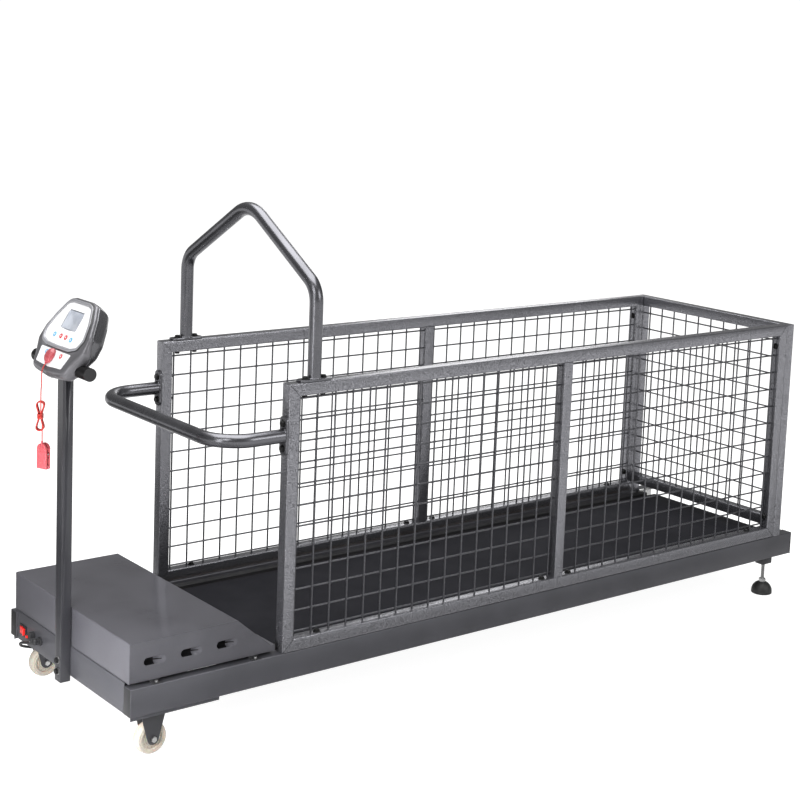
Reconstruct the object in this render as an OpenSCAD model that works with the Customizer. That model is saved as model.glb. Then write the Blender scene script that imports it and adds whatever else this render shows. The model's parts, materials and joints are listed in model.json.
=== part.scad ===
// Caged dog treadmill: a motor driven running belt between mesh side panels,
// with a hooded drive at the front, a tow arch, a guard bar and a console on a post.
// Millimetres. +X runs to the rear, +Y to the far side, +Z up; the floor is z = 0.

/* [Base frame] */
// Length of each base rail
rail_l = 2200; // [2160:10:2600]
// Width of a base rail's section
rail_w = 32; // [30:1:36]
// Height of a base rail's section
rail_h = 64; // [60:1:90]
// Wall of the base rails
rail_wall = 2; // [1.5:0.5:3]
// Overall width across the base rails
base_w = 600; // [596:2:760]
// Thickness of a tube end cap's flange
cap_t = 3; // [2:0.5:6]
// Depth of an end cap's plug
cap_plug = 18; // [10:1:30]
// Width of a cross member along the base
cross_w = 40; // [30:1:60]
// Height of a cross member
cross_h = 20; // [15:1:24]
// Wall of a cross member
cross_wall = 2; // [1.5:0.5:3]

/* [Front plate and pan] */
// Thickness of the front plate
plate_t = 2; // [1:0.5:2.5]
// How far the front plate sits behind the rail ends
plate_setback = 2; // [1:0.5:2.5]
// Length of the motor pan along the base
pan_l = 224; // [200:2:250]
// Thickness of the motor pan
pan_t = 2; // [1.5:0.5:4]
// Depth of the motor pan's turned down lip
pan_lip = 9; // [6:1:16]
// How far the pan's lip sits inside the rail's outer face
pan_inset = 8; // [4:0.5:8]

/* [Hood] */
// Sheet thickness of the hood
hood_t = 1.5; // [1:0.5:2.5]
// Height of the hood's top above the rails
hood_top = 96; // [90:1:130]
// Gap under the hood's sides, above the rails
hood_gap = 6; // [5:0.5:10]
// How far the hood's sides sit inside the rails' outer faces
hood_inset = 16; // [15:1:20]
// Distance from the rail ends to the hood's front
hood_setback = 5; // [5:0.5:8]
// Length of the hood's flat top
hood_flat_l = 275; // [265:1:280]
// Length of the hood's sloping rear face, measured along the base
hood_slope_l = 89; // [80:1:92]
// Height of the hood's rear lip above the rails
hood_lip_z = 21; // [18:1:30]
// Length of the hood's rear lip
hood_lip_l = 12; // [8:1:16]
// Length of a side vent
vent_l = 58; // [40:1:70]
// Height of a side vent
vent_h = 18; // [12:1:24]
// Depth to which a side vent is pressed in
vent_depth = 9; // [5:0.5:14]
// Height of the side vents' middle above the rails
vent_z = 49; // [42:1:60]
// Spacing of the side vents
vent_pitch = 92; // [75:1:98]
// Distance from the hood's front to the first vent's middle
vent_x = 62; // [48:1:70]
// Length of a hood bracket along the rail
bracket_l = 24; // [20:1:28]
// Height of a hood bracket's upright
bracket_h = 24; // [18:1:26]
// Thickness of a hood bracket
bracket_t = 2; // [1.5:0.5:2.5]
// Distance from the hood's front to its first bracket
bracket_x = 63; // [40:1:80]
// Distance between the two brackets of a side
bracket_pitch = 255; // [220:1:260]
// Head diameter of a hood screw
screw_head_d = 8; // [6:0.5:9]
// Head height of a hood screw
screw_head_h = 3; // [2:0.5:4]
// Shank diameter of a hood screw
screw_d = 4; // [3:0.5:5]
// Distance of a hood screw from the rail's outer face
screw_inset = 10; // [8:0.5:11]

/* [Deck and belt] */
// Width of the running belt
belt_w = 450; // [400:5:452]
// Thickness of the running belt
belt_t = 2; // [1.5:0.1:2.5]
// Depth of the belt's top below the rails' tops
belt_drop = 8; // [6:0.5:12]
// Thickness of the deck board
deck_t = 16; // [12:1:18]
// Space between the deck board and what turns at its ends
deck_room = 6; // [4:0.5:10]
// Width of a side strip
strip_w = 20; // [16:1:21]
// Space between the belt's edge and the side strip
strip_gap = 3; // [2:0.5:4]
// How far the deck board reaches past the side strips
deck_past = 2; // [0.5:0.5:3]
// Outer diameter of the belt rollers
roller_d = 44; // [42:1:46]
// Length of a belt roller past the belt on each side
roller_past = 5; // [3:0.5:6]
// Diameter of a roller shaft
shaft_d = 15; // [12:1:17]
// Outer diameter of a roller bearing
bearing_d = 35; // [32:1:36]
// Width of a roller bearing
bearing_w = 11; // [8:1:14]
// Distance from the panel's front to the front roller's axis
front_roller_lead = 75; // [72:1:85]
// Distance from the rails' rear ends to the rear roller's axis
rear_roller_inset = 30; // [28:1:66]
// Thickness of a roller bracket's plate
adjuster_t = 6; // [4:0.5:8]
// Length of a roller bracket along the base
adjuster_l = 56; // [50:1:58]
// Reach of a roller bracket's top flange from the rail
adjuster_reach = 15; // [10:0.5:15]
// Thickness of a roller bracket's top flange
adjuster_top = 3; // [2:0.5:5]

/* [Drive] */
// Diameter of the motor body
motor_d = 92; // [80:1:100]
// Length of the motor body
motor_l = 190; // [160:1:200]
// Distance from the rail ends to the motor's axis
motor_x = 140; // [132:1:150]
// Height of the motor's axis above the rails
motor_z = 12; // [4:1:18]
// Width of the motor's foot along the base
motor_foot = 60; // [50:1:80]
// Space between the motor and its pulley
motor_space = 25; // [15:1:30]
// Diameter of the motor shaft
motor_shaft_d = 12; // [10:1:14]
// Depth to which the motor shaft runs in the motor
motor_bore = 60; // [40:1:100]
// Diameter of the motor pulley
motor_pulley_d = 30; // [24:1:36]
// Diameter of the roller's drive pulley
drive_pulley_d = 60; // [54:1:62]
// Width of both pulleys
pulley_w = 18; // [14:1:20]
// Thickness of the drive belt
drive_belt_t = 4; // [3:0.5:5]
// Length of the motor controller along the base
controller_l = 110; // [80:1:120]
// Width of the motor controller across the base
controller_w = 150; // [100:1:170]
// Height of the motor controller
controller_h = 42; // [30:1:60]
// Distance from the rail ends to the motor controller
controller_x = 45; // [40:1:60]
// Distance of the motor controller from the middle of the base
controller_y = 30; // [10:1:40]
// Thickness of a controller cooling fin
fin_t = 3; // [2:0.5:4]

/* [Casters and feet] */
// Height from the floor to the underside of the motor pan
caster_h = 105; // [100:1:125]
// Diameter of a caster wheel
wheel_d = 75; // [65:1:80]
// Width of a caster wheel
wheel_w = 25; // [20:1:25]
// Diameter of a caster wheel's hub
hub_d = 30; // [24:1:36]
// Depth of the ring pressed into a caster wheel's face
wheel_dish = 3; // [1:0.5:5]
// Thickness of the caster bracket's steel
fork_t = 3; // [2:0.5:3]
// Side space between wheel and fork
fork_gap = 1; // [0.5:0.1:1]
// Length of the caster bracket's top plate
fork_plate_l = 64; // [56:1:84]
// Radius of the fork's rounded lower end
fork_end_r = 14; // [12:1:16]
// Diameter of the caster axle
axle_d = 8; // [6:0.5:10]
// Height of an axle nut
axle_nut_h = 6; // [4:0.5:8]
// Distance from the rail ends to the caster axle
caster_x = 70; // [60:1:90]
// Distance from the rail's outer face to the caster's middle
caster_inset = 38; // [27:0.5:42]
// Diameter of a levelling foot's stem
stem_d = 10; // [8:0.5:12]
// Height of a levelling foot's stem inside the rail
stem_up = 15; // [8:1:20]
// Diameter of a levelling foot's pad
pad_d = 60; // [50:1:70]
// Height of a levelling foot's pad
pad_h = 36; // [30:1:42]
// Height of the pad's straight rim
pad_rim = 8; // [5:0.5:12]
// Height of the foot's hexagon nut
foot_nut_h = 8; // [6:0.5:10]
// Width across corners of the foot's hexagon nut
foot_nut_d = 20; // [18:0.5:24]
// Side of the foot bracket along the base
foot_block_l = 40; // [30:1:50]
// Height of the foot bracket
foot_block_h = 17; // [14:1:22]
// How far the foot bracket sits inside the rail's faces
foot_inset = 2; // [1:0.5:4]
// Distance from the rails' rear ends to the foot's axis
foot_x = 97; // [80:1:120]

/* [Cage panels] */
// Side of the square panel tube
tube_w = 30; // [26:1:31]
// Wall of the panel tube
tube_wall = 1.5; // [1:0.5:2.5]
// Length of a side panel
panel_l = 1730; // [1600:10:1740]
// Height of the panels
panel_h = 630; // [600:10:800]
// Distance from the rail ends to the side panel's front
panel_setback = 390; // [388:1:395]
// Height of the rear panel's lower bar above the rails
rear_gap = 25; // [20:1:40]
// Diameter of the mesh wire
wire_d = 4.2; // [3:0.1:5]
// Pitch of the mesh
mesh_pitch = 50; // [40:1:70]
// Least space from an outer wire to its frame
mesh_edge = 8; // [6:1:14]
// Depth of the mesh behind the panel's outer face
mesh_depth = 17; // [12:0.5:18]
// Distance from a panel's end to its first floor bolt
panel_bolt_x = 105; // [80:1:140]
// Distance from the middle post to a floor bolt
panel_bolt_mid = 32; // [20:1:60]
// Distance from a panel's top or bottom to its corner bolt
corner_bolt_z = 62; // [50:1:90]

/* [Arch and guard bar] */
// Outer diameter of the round tube
round_d = 32; // [26:1:34]
// Wall of the round tube
round_wall = 1.5; // [1:0.5:2.5]
// Distance from the side panel's front to the arch
arch_x = 76; // [74:0.5:77]
// Height of the arch's knees above the panels
arch_knee = 212; // [190:1:260]
// Height of the arch's peak above the panels
arch_peak = 378; // [360:1:420]
// Bend radius of the arch's knees
arch_knee_r = 60; // [50:1:80]
// Bend radius of the arch's peak
arch_peak_r = 100; // [80:1:130]
// Height of the guard bar above the rails
guard_z = 510; // [460:1:530]
// Reach of the guard bar ahead of the side panels
guard_reach = 168; // [140:1:200]
// Bend radius of the guard bar
guard_r = 85; // [70:1:100]
// Length of a tube flange
flange_l = 90; // [84:1:110]
// Thickness of a tube flange
flange_t = 5; // [4:0.5:8]
// Spacing of a flange's two bolts
flange_bolts = 50; // [48:0.5:51]
// Spacing of the bolts in the guard bar's flanges
guard_bolts = 58; // [50:1:66]

/* [Fasteners] */
// Diameter of the frame bolts
bolt_d = 8; // [6:0.5:9]
// Width across corners of a bolt head
bolt_head_d = 14; // [12:0.5:15]
// Height of a bolt head
bolt_head_h = 5; // [4:0.5:6]
// Length of a bolt past the last piece that it holds
bolt_end = 7; // [6.5:0.5:8]
// Diameter of a washer
washer_d = 18; // [16:0.5:20]
// Thickness of a washer
washer_t = 2; // [1:0.5:3]
// Height of a nut
nut_h = 6; // [4:0.5:6.5]

/* [Console] */
// Width of the console post across the base
post_w = 30; // [26:1:40]
// Depth of the console post along the base
post_l = 25; // [22:1:30]
// Wall of the console post
post_wall = 1.5; // [1:0.5:2.5]
// How far the post reaches below the rails
post_below = 12; // [8:1:20]
// Depth of the post's upper bolt below the rails' tops
post_bolt_z = 26; // [22:1:30]
// Spacing of the post's two bolts
post_bolt_pitch = 26; // [22:1:28]
// Height of the grip bar's axis above the rails
grip_z = 660; // [608:1:728]
// Diameter of the grip bar
grip_d = 30; // [26:1:32]
// Length of the grip bar over its caps
grip_l = 262; // [246:2:300]
// How far the grip bar's axis lies ahead of the post's axis
grip_ahead = 7; // [4:0.5:9]
// Tilt of the console's face from upright, in degrees
face_tilt = 32; // [28:1:36]
// Height of the face's middle above the grip bar's axis
face_above = 97; // [95:0.5:100]
// How far the face's middle lies behind the post's axis
face_back = 16; // [14:0.5:18]
// Width of the console
head_w = 214; // [210:1:226]
// Height of the console above the face's middle
head_up = 54; // [53:0.5:60]
// Height of the console below the face's middle
head_dn = 126; // [124:0.5:130]
// Depth of the console behind its face
head_depth = 50; // [46:1:56]
// Thickness of the console's front frame
bezel_t = 8; // [7:0.5:10]
// Thickness of the front frame's plate
bezel_plate = 3; // [2:0.5:4]
// Wall of the console's back shell
shell_t = 2.5; // [2:0.5:3]
// Corner radius of the console
head_r = 14; // [8:1:18]
// Height of the raised rim around the display
rim_h = 4; // [2:0.5:6]
// Width of the raised rim
rim_w = 9; // [6:0.5:10]
// Thickness of the overlays
overlay_t = 1; // [0.5:0.1:1.5]
// Width of the display window
lcd_w = 72; // [60:1:74]
// Height of the display window
lcd_h = 47; // [40:1:48]
// Diameter of a console button
button_d = 11; // [9:0.5:12]
// Height of a button above its overlay
button_rise = 1.5; // [1:0.1:3]
// Length of a button behind the front frame's plate
button_tail = 2.5; // [2:0.1:3]
// Travel of a console button
button_travel = 0.8; // [0.5:0.1:1]
// Thickness of the console's circuit board
board_t = 1.6; // [1:0.1:2]
// Distance of the circuit board behind the face
board_back = 13; // [12:0.5:14]
// Diameter of a circuit board boss
boss_d = 8; // [6:0.5:9]

/* [Safety key] */
// Length of the safety key's oval
key_l = 36; // [34:1:42]
// Width of the safety key's oval
key_w = 30; // [24:1:32]
// Height of the safety key
key_h = 13; // [10:0.5:16]
// Diameter of the safety key's string boss
key_boss_d = 7; // [5:0.5:8]
// Diameter of the lanyard's string
string_d = 2.5; // [2:0.1:2.5]
// Height of the hank between its end bends
hank_h = 64; // [60:1:70]
// Half width of the hank's lobes
hank_lobe = 8; // [6:0.5:10]
// Half width of the hank's waist
hank_waist = 2.6; // [2.2:0.1:4]
// Step from one loop of the hank to the next
hank_step = 3.2; // [3:0.1:4]
// Number of loops in the hank
hank_loops = 5; // [3:1:6]
// Width of the clip
clip_w = 28; // [24:1:30]
// Length of the clip
clip_l = 58; // [50:1:66]
// Thickness of each clip jaw
clip_t = 4; // [3:0.5:5]
// Space between the clip's jaws at their pivot
clip_gap = 6; // [5.5:0.5:7]
// Diameter of the clip's pivot pin
clip_pin_d = 3; // [2.5:0.1:3.5]

/* [Switches and lead] */
// Width of the rocker switch's frame
switch_w = 34; // [32:1:38]
// Height of the rocker switch's frame
switch_h = 27; // [26:1:30]
// Thickness of the rocker switch's frame
switch_t = 3; // [2:0.5:4]
// Depth of the rocker switch behind the front plate
switch_depth = 22; // [18:1:28]
// Wall of the rocker switch
switch_wall = 2; // [1.5:0.5:2]
// Width of the rocker
rocker_w = 24; // [22:0.5:24]
// Height of the rocker
rocker_h = 18; // [14:0.5:18]
// Rise of the rocker's middle from its pivot
rocker_rise = 3; // [2:0.5:4]
// Diameter of the rocker's pivot pin
rocker_pin_d = 3; // [2:0.1:4]
// Tilt of the rocker to each side, in degrees
rocker_tilt = 8; // [5:1:10]
// Distance of the rocker switch from the middle of the base
switch_y = 232; // [228:1:236]
// Height of the rocker switch below the rails' tops
switch_drop = 34; // [32:1:38]
// Distance of the reset button from the middle of the base
reset_y = 203; // [201:0.5:205]
// Height of the reset button below the rails' tops
reset_drop = 40; // [36:1:42]
// Diameter of the reset button
reset_d = 7; // [5:0.5:8]
// Length of the reset button ahead of its collar
reset_out = 4; // [3:0.5:6]
// Travel of the reset button
reset_travel = 2; // [1:0.1:2.5]
// Diameter of the reset button's collar
collar_d = 13; // [12:0.5:14]
// Height of the reset button's collar
collar_h = 4; // [3:0.5:5]
// Distance of the fuse holder from the middle of the base
fuse_y = 177; // [175:0.5:180]
// Height of the fuse holder below the rails' tops
fuse_drop = 28; // [26:0.5:29]
// Diameter of the fuse holder's cap
fuse_d = 16; // [12:0.5:17]
// Length of the fuse holder's cap
fuse_l = 12; // [8:0.5:14]
// Distance of the lead's elbow from the middle of the base
gland_y = 141; // [138:1:144]
// Height of the lead's elbow below the rails' tops
gland_drop = 32; // [31:0.5:36]
// Diameter of the elbow's body
gland_d = 14; // [12:0.5:16]
// Diameter of the elbow's hexagon nut
gland_nut_d = 22; // [19:0.5:25]
// Height of the elbow's hexagon nut
gland_nut_h = 4; // [3:0.5:6]
// Reach of the elbow ahead of the front plate
gland_out = 14; // [13:0.5:16]
// Dip of the elbow's boot below level, in degrees
gland_dip = 20; // [18:1:24]
// Length of the elbow's boot
boot_l = 22; // [20:1:26]
// Thickness of the boot round the lead at its end
boot_t = 1.2; // [0.8:0.1:2]
// Diameter of the mains lead
lead_d = 6.5; // [6:0.1:6.6]
// Number of turns in each layer of the stored lead
coil_turns = 3.25; // [2.25:1:3.25]
// Radius of the stored lead's outer turn
coil_r = 49; // [46:1:54]
// Space between neighbouring turns of the stored lead
coil_space = 0.6; // [0.5:0.1:1]
// Length of the plug's body
plug_l = 36; // [32:1:44]
// Width of the plug's body
plug_w = 28; // [24:1:34]
// Length of the plug's boot
plug_boot = 20; // [16:1:26]
// Length of a plug pin
pin_l = 19; // [16:0.5:22]
// Diameter of a plug pin
pin_d = 4.5; // [4:0.1:5]

/* [Hidden] */
$fn = 48;
// Overrun of every cut past the face that it opens
cut = 1;
// Radial running clearance of a shaft in its bore
run_fit = 0.05;
// Clearance between pieces that move past each other
slip = 0.3;
// Radial clearance of a bolt in its hole
hole_fit = 0.3;
// Bite of one mesh wire into the other at a weld
weld_bite = 0.3;
// Depth to which one joined body reaches into the other
weld = 0.5;
// Thickness of a lofted outline
slice = 0.1;
// Sides of a mesh wire
wire_sides = 8;

// Heights from the floor up
rail_z0 = caster_h + pan_t;
rail_z1 = rail_z0 + rail_h;
panel_z1 = rail_z1 + panel_h;
belt_z = rail_z1 - belt_drop;
loop_r = roller_d / 2 + slip;
roller_z = belt_z - belt_t - loop_r;
deck_z1 = belt_z - belt_t - slip;
deck_z0 = deck_z1 - deck_t;
cross_z0 = deck_z0 - cross_h;
wheel_z = wheel_d / 2;
motor_axis_z = rail_z1 + motor_z;

// Widths from the middle out
half_w = base_w / 2;
rail_in = half_w - rail_w;
rail_mid = half_w - rail_w / 2;
tube_mid = half_w - tube_w / 2;
roller_half = belt_w / 2 + roller_past;
strip_y = belt_w / 2 + strip_gap;
deck_w = 2 * (strip_y + strip_w + deck_past);
pulley_y = roller_half + pulley_w / 2;
caster_y = half_w - caster_inset;
fork_in = wheel_w / 2 + fork_gap;
fork_out = fork_in + fork_t;
hood_in = half_w - hood_inset - hood_t;

// The console's face, measured from the rails' front ends
post_dx = plate_setback - post_l / 2;
face_dx = post_dx + face_back;
head_lead = head_dn * sin(face_tilt) - face_dx;

// Lengths, with the origin under the middle of the whole object
rail_x0 = (head_lead - rail_l - cap_t) / 2;
rail_x1 = rail_x0 + rail_l;
panel_x0 = rail_x0 + panel_setback;
panel_x1 = panel_x0 + panel_l;
panel_mid = (panel_x0 + panel_x1) / 2;
bay_l = (panel_l - 3 * tube_w) / 2;
front_roller_x = panel_x0 - front_roller_lead;
rear_roller_x = rail_x1 - rear_roller_inset;
deck_x0 = front_roller_x + drive_pulley_d / 2 + drive_belt_t + deck_room;
deck_x1 = rear_roller_x - roller_d / 2 - deck_room;
plate_x = rail_x0 + plate_setback;
post_x = rail_x0 + post_dx;
grip_x = post_x - grip_ahead;
face_x = rail_x0 + face_dx;
face_z = rail_z1 + grip_z + face_above;
caster_axle_x = rail_x0 + caster_x;
foot_axis_x = rail_x1 - foot_x;
hood_x = rail_x0 + hood_setback;
motor_axis_x = rail_x0 + motor_x;

// Places as shares of the length that they follow
cross_shares = [0.04, 0.27, 0.5, 0.73, 0.96];
// Outlines of the console's face: across in half widths, up or down in heights from the middle
rim_shares = [[0.37, 1], [0.58, 0.89], [0.79, 0.33], [0.99, -0.2], [1, -0.47], [0.77, -0.75], [0.66, -0.95],
  [0, -1]];
overlay_shares = [[0.33, 0.76], [0.5, 0.66], [0.71, 0], [0.82, -0.28], [0.74, -0.43], [0.5, -0.49],
  [0, -0.5]];
key_panel_shares = [[0.66, -0.59], [0.56, -0.88], [0, -0.91]];
// Size of the console's back against its front
back_share = 0.88;
// Buttons, upper row and then lower row: across in half widths, down in heights
button_shares = [[-0.39, -0.33], [-0.11, -0.325], [0.11, -0.325], [0.35, -0.34],
  [-0.32, -0.67], [0.32, -0.67]];
// The safety key's place, and half the circuit board's reach, in the same shares
key_share = [-0.05, -0.725];
board_shares = [0.48, 0.7, -0.76];
// The clip's pivot and its jaw tips, as shares of its length
clip_pivot_share = 0.42;
clip_tip_share = 0.14;

// A point on the console's face: u to the right, v up the face, w out of it
function face_point(u, v, w) =
  [face_x + v * sin(face_tilt) - w * cos(face_tilt), -u, face_z + v * cos(face_tilt) + w * sin(face_tilt)];
function head_v(share) = share * (share > 0 ? head_up : head_dn);
function head_uv(shares) = [shares[0] * head_w / 2, head_v(shares[1])];
function head_outline(shares) =
  let (right = [for (s = shares) head_uv(s)], n = len(right))
  concat(right, [for (i = [n - 1:-1:0]) if (right[i][0] > 0) [-right[i][0], right[i][1]]]);

// Points on the bolts' axes
floor_bolt_xs = [
  panel_x0 + panel_bolt_x,
  panel_mid - tube_w / 2 - panel_bolt_mid,
  panel_mid + tube_w / 2 + panel_bolt_mid,
  panel_x1 - panel_bolt_x
];
arch_bolt_xs = [for (s = [-1, 1]) panel_x0 + arch_x + s * flange_bolts / 2];
guard_bolt_zs = [for (s = [-1, 1]) rail_z1 + guard_z + s * guard_bolts / 2];
corner_bolt_zs = [rail_z1 + corner_bolt_z, panel_z1 - corner_bolt_z];
post_bolt_zs = [for (i = [0, 1]) rail_z1 - post_bolt_z - i * post_bolt_pitch];
screw_xs = [for (i = [0, 1]) hood_x + bracket_x + i * bracket_pitch];

// Places of the pieces on the front plate
switch_at = [plate_x, switch_y, rail_z1 - switch_drop];
reset_at = [plate_x, reset_y, rail_z1 - reset_drop];
fuse_at = [plate_x, fuse_y, rail_z1 - fuse_drop];
gland_at = [plate_x, gland_y, rail_z1 - gland_drop];

// The string's boss on the safety key, and the string's route down from it
key_uv = head_uv(key_share);
key_w0 = overlay_t + slip;
string_w = key_w0 + key_boss_d / 2;
string_start = face_point(key_uv[0], key_uv[1] - key_l / 2 - key_boss_d / 4, string_w);
string_lead = string_d * [-sin(face_tilt), 0, -cos(face_tilt)];
string_drops = [[-5, 0, -8], [-9, -2, -16], [-11, -4, -25], [-12, -6, -35], [-12, -7, -44], [-14, -9, -52],
  [-16, -12, -59], [-17, -14, -65], [-17, -14, -69]];
string_route = concat([string_start, string_start + string_lead], [for (p = string_drops) string_start + p]);
// The hank hangs across the line of sight, turned this far about the vertical, in degrees
hank_turn = -38;
hank_run = hank_h / 2 + 6 * string_d;
hank_top = string_route[len(string_route) - 1];
hank_across = [cos(hank_turn), sin(hank_turn), 0];
hank_along = [-sin(hank_turn), cos(hank_turn), 0];
hank_bulge = (hank_lobe - hank_waist / sqrt(3)) * 3 * sqrt(3) / 2;
loop_rings = 24;

function hank_point(across, along, up) =
  hank_top + (across - hank_waist) * hank_across + along * hank_along + [0, 0, up - hank_run];
function ease(x) = x < 0 ? 0 : x > 1 ? 1 : x * x * (3 - 2 * x);
// One point of the hank's loops: down the right run, up the left run, a step back on each left run
function hank_loop(turn) =
  let (a = 90 + 360 * turn, whole = floor(turn), part = turn - whole)
  hank_point(
    sin(a) * (hank_waist + hank_bulge * cos(a) * cos(a)),
    hank_step * (whole + ease((part - 0.25) * 2)),
    hank_h / 2 * cos(a)
  );
hank_path = concat(
  [hank_top, hank_top - [0, 0, string_d], hank_point(hank_waist, 0, hank_h / 4)],
  [for (i = [0:hank_loops * loop_rings]) hank_loop(i / loop_rings)],
  [for (up = [-hank_h / 4, string_d - hank_run, -hank_run])
    hank_point(hank_waist, hank_loops * hank_step, up)]
);
hank_end = hank_path[len(hank_path) - 1];
clip_top = hank_end - [0, 0, 5 * string_d];
string_tail = [for (i = [0:3]) hank_end + (clip_top - hank_end) * i / 3];
// The clip's jaws face this far round from the front, in degrees
clip_turn = -68;

// The mains lead: from the elbow under the base to the coil on the floor
elbow_at = gland_at - [gland_out, 0, 0];
lead_dir = [0, cos(gland_dip), -sin(gland_dip)];
lead_exit = elbow_at + boot_l * lead_dir;
lead_r = lead_d / 2;
lead_drops = [[0, 18, -6], [0, 31, -10], [0, 44, -14], [1, 57, -19], [4, 68, -26], [11, 76, -34],
  [24, 78, -40], [42, 72, -44], [61, 62, -48], [82, 50, -54], [103, 37, -62], [124, 24, -72], [145, 11, -84],
  [166, -2, -96], [187, -14, -107], [209, -26, -116], [230, -36, -123], [250, -43, -127]];
coil_offset = [306, 2];
// Straight end of the lead from the coil to the plug
coil_tail = 30;
coil_at = [lead_exit[0] + coil_offset[0], lead_exit[1] + coil_offset[1], lead_r];
coil_pitch = lead_d + coil_space;
coil_start = coil_at - [0, coil_r, 0];
lead_route = concat(
  [lead_exit, lead_exit + lead_d * lead_dir],
  [for (p = lead_drops) lead_exit + p],
  [for (back = [4, 2]) coil_start - [back * lead_d, 0, 0]]
);
// One point of the coil: a spiral in on the floor, half a turn up, and a spiral out on top of it
function coil_point(turn) =
  let (a = -90 + 360 * turn, off = turn - coil_turns, r = coil_r - coil_pitch * (coil_turns - abs(off)))
  coil_at + [r * cos(a), r * sin(a), coil_pitch * ease(off * 2 + 0.5)];
coil_path = concat(
  [for (back = [2, 1]) coil_start - [back * lead_d, 0, 0]],
  [for (i = [0:2 * coil_turns * loop_rings]) coil_point(i / loop_rings)],
  [for (share = [1, 2, 3]) coil_point(2 * coil_turns) - [share * coil_tail / 3, 0, 0]]
);
plug_at = coil_path[len(coil_path) - 1];

function unit(v) = v / norm(v);
// Midpoints on a smooth curve between the points of a route
function smooth(route) =
  let (n = len(route) - 1)
  concat(
    [for (i = [0:n - 1]) each [
      route[i],
      (i == 0 || i == n - 1) ? (route[i] + route[i + 1]) / 2
        : (9 * (route[i] + route[i + 1]) - route[i - 1] - route[i + 2]) / 16
    ]],
    [route[n]]
  );
// The least gap between turns of a tube, measured on points that aren't neighbours
function least_gap(path, d) =
  min([for (i = [0:len(path) - 4]) for (j = [i + 3:len(path) - 1]) norm(path[i] - path[j])]) - d;
echo(coil_gap = least_gap(coil_path, lead_d), hank_gap = least_gap(hank_path, string_d));

// A round tube of few sides swept along points; ref is never along the tube
module swept_tube(path, d, sides, ref) {
  n = len(path);
  points = [
    for (i = [0:n - 1])
    let (t = unit(path[min(i + 1, n - 1)] - path[max(i - 1, 0)]), a = unit(cross(ref, t)), b = cross(t, a))
    for (j = [0:sides - 1]) path[i] + d / 2 * (cos(360 * j / sides) * a + sin(360 * j / sides) * b)
  ];
  last = (n - 1) * sides;
  sides_faces = [
    for (i = [0:n - 2]) for (j = [0:sides - 1])
    let (k = i * sides, m = (j + 1) % sides)
    each [[k + j, k + sides + j, k + sides + m], [k + j, k + sides + m, k + m]]
  ];
  start_faces = [for (j = [1:sides - 2]) [0, j, j + 1]];
  end_faces = [for (j = [1:sides - 2]) [last, last + j + 1, last + j]];
  polyhedron(points, concat(sides_faces, start_faces, end_faces));
}

module both_sides() {
  children();
  mirror([0, 1, 0]) children();
}

// Extrude an outline drawn in x and z to both sides of the middle
module across_base(w) {
  translate([0, w / 2, 0]) rotate([90, 0, 0]) linear_extrude(w) children();
}

// Place children in the console face's own frame: x to the right, y up the face, z out of it
module on_face() {
  translate([face_x, 0, face_z]) rotate([0, face_tilt, 0]) rotate([90, 0, -90]) children();
}

// Turn a piece that stands on z = 0 so that it points to the front
module to_front() {
  rotate([0, -90, 0]) children();
}

module hex_bolt(grip) {
  cylinder(d = bolt_head_d, h = bolt_head_h, $fn = 6);
  translate([0, 0, -grip - bolt_end]) cylinder(d = bolt_d, h = grip + bolt_end + weld);
}

module bolt_hole(l) {
  translate([0, 0, -l - cut]) cylinder(d = bolt_d + 2 * hole_fit, h = l + 2 * cut);
}

module ring(d, wall) {
  difference() {
    circle(d = d);
    circle(d = d - 2 * wall);
  }
}

module box_tube(size, wall, axis) {
  difference() {
    cube(size);
    translate([for (i = [0:2]) i == axis ? -cut : wall])
      cube([for (i = [0:2]) i == axis ? size[i] + 2 * cut : size[i] - 2 * wall]);
  }
}

// Base frame
module base_rails() color("dimgray") both_sides() difference() {
  translate([rail_x0, -half_w, rail_z0]) cube([rail_l, rail_w, rail_h]);
  translate([rail_x0 + rail_wall, rail_wall - half_w, rail_z0 + rail_wall])
    cube([rail_l, rail_w - 2 * rail_wall, rail_h - 2 * rail_wall]);
  for (x = floor_bolt_xs) translate([x, -tube_mid, rail_z1]) bolt_hole(rail_wall);
  for (x = screw_xs) translate([x, screw_inset - half_w, rail_z1 - rail_wall - cut])
    cylinder(d = screw_d + 2 * hole_fit, h = rail_wall + 2 * cut);
  translate([foot_axis_x, -rail_mid, rail_z0 - cut])
    cylinder(d = stem_d + 2 * hole_fit, h = rail_wall + 2 * cut);
}

module cross_members() color("dimgray") for (share = cross_shares)
  translate([deck_x0 + share * (deck_x1 - deck_x0) - cross_w / 2, -rail_in, cross_z0])
    box_tube([cross_w, 2 * rail_in, cross_h], cross_wall, 1);

module end_caps() color("black") {
  both_sides() {
    translate([rail_x1, -half_w, rail_z0]) cube([cap_t, rail_w, rail_h]);
    translate([rail_x1 - cap_plug, rail_wall + slip - half_w, rail_z0 + rail_wall + slip])
      cube([cap_plug + weld, rail_w - 2 * (rail_wall + slip), rail_h - 2 * (rail_wall + slip)]);
  }
  both_sides() translate([grip_x, grip_l / 2, rail_z1 + grip_z]) rotate([90, 0, 0]) {
    cylinder(d = grip_d, h = cap_t);
    cylinder(d = grip_d - 2 * (round_wall + slip), h = cap_t + cap_plug);
  }
}

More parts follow.
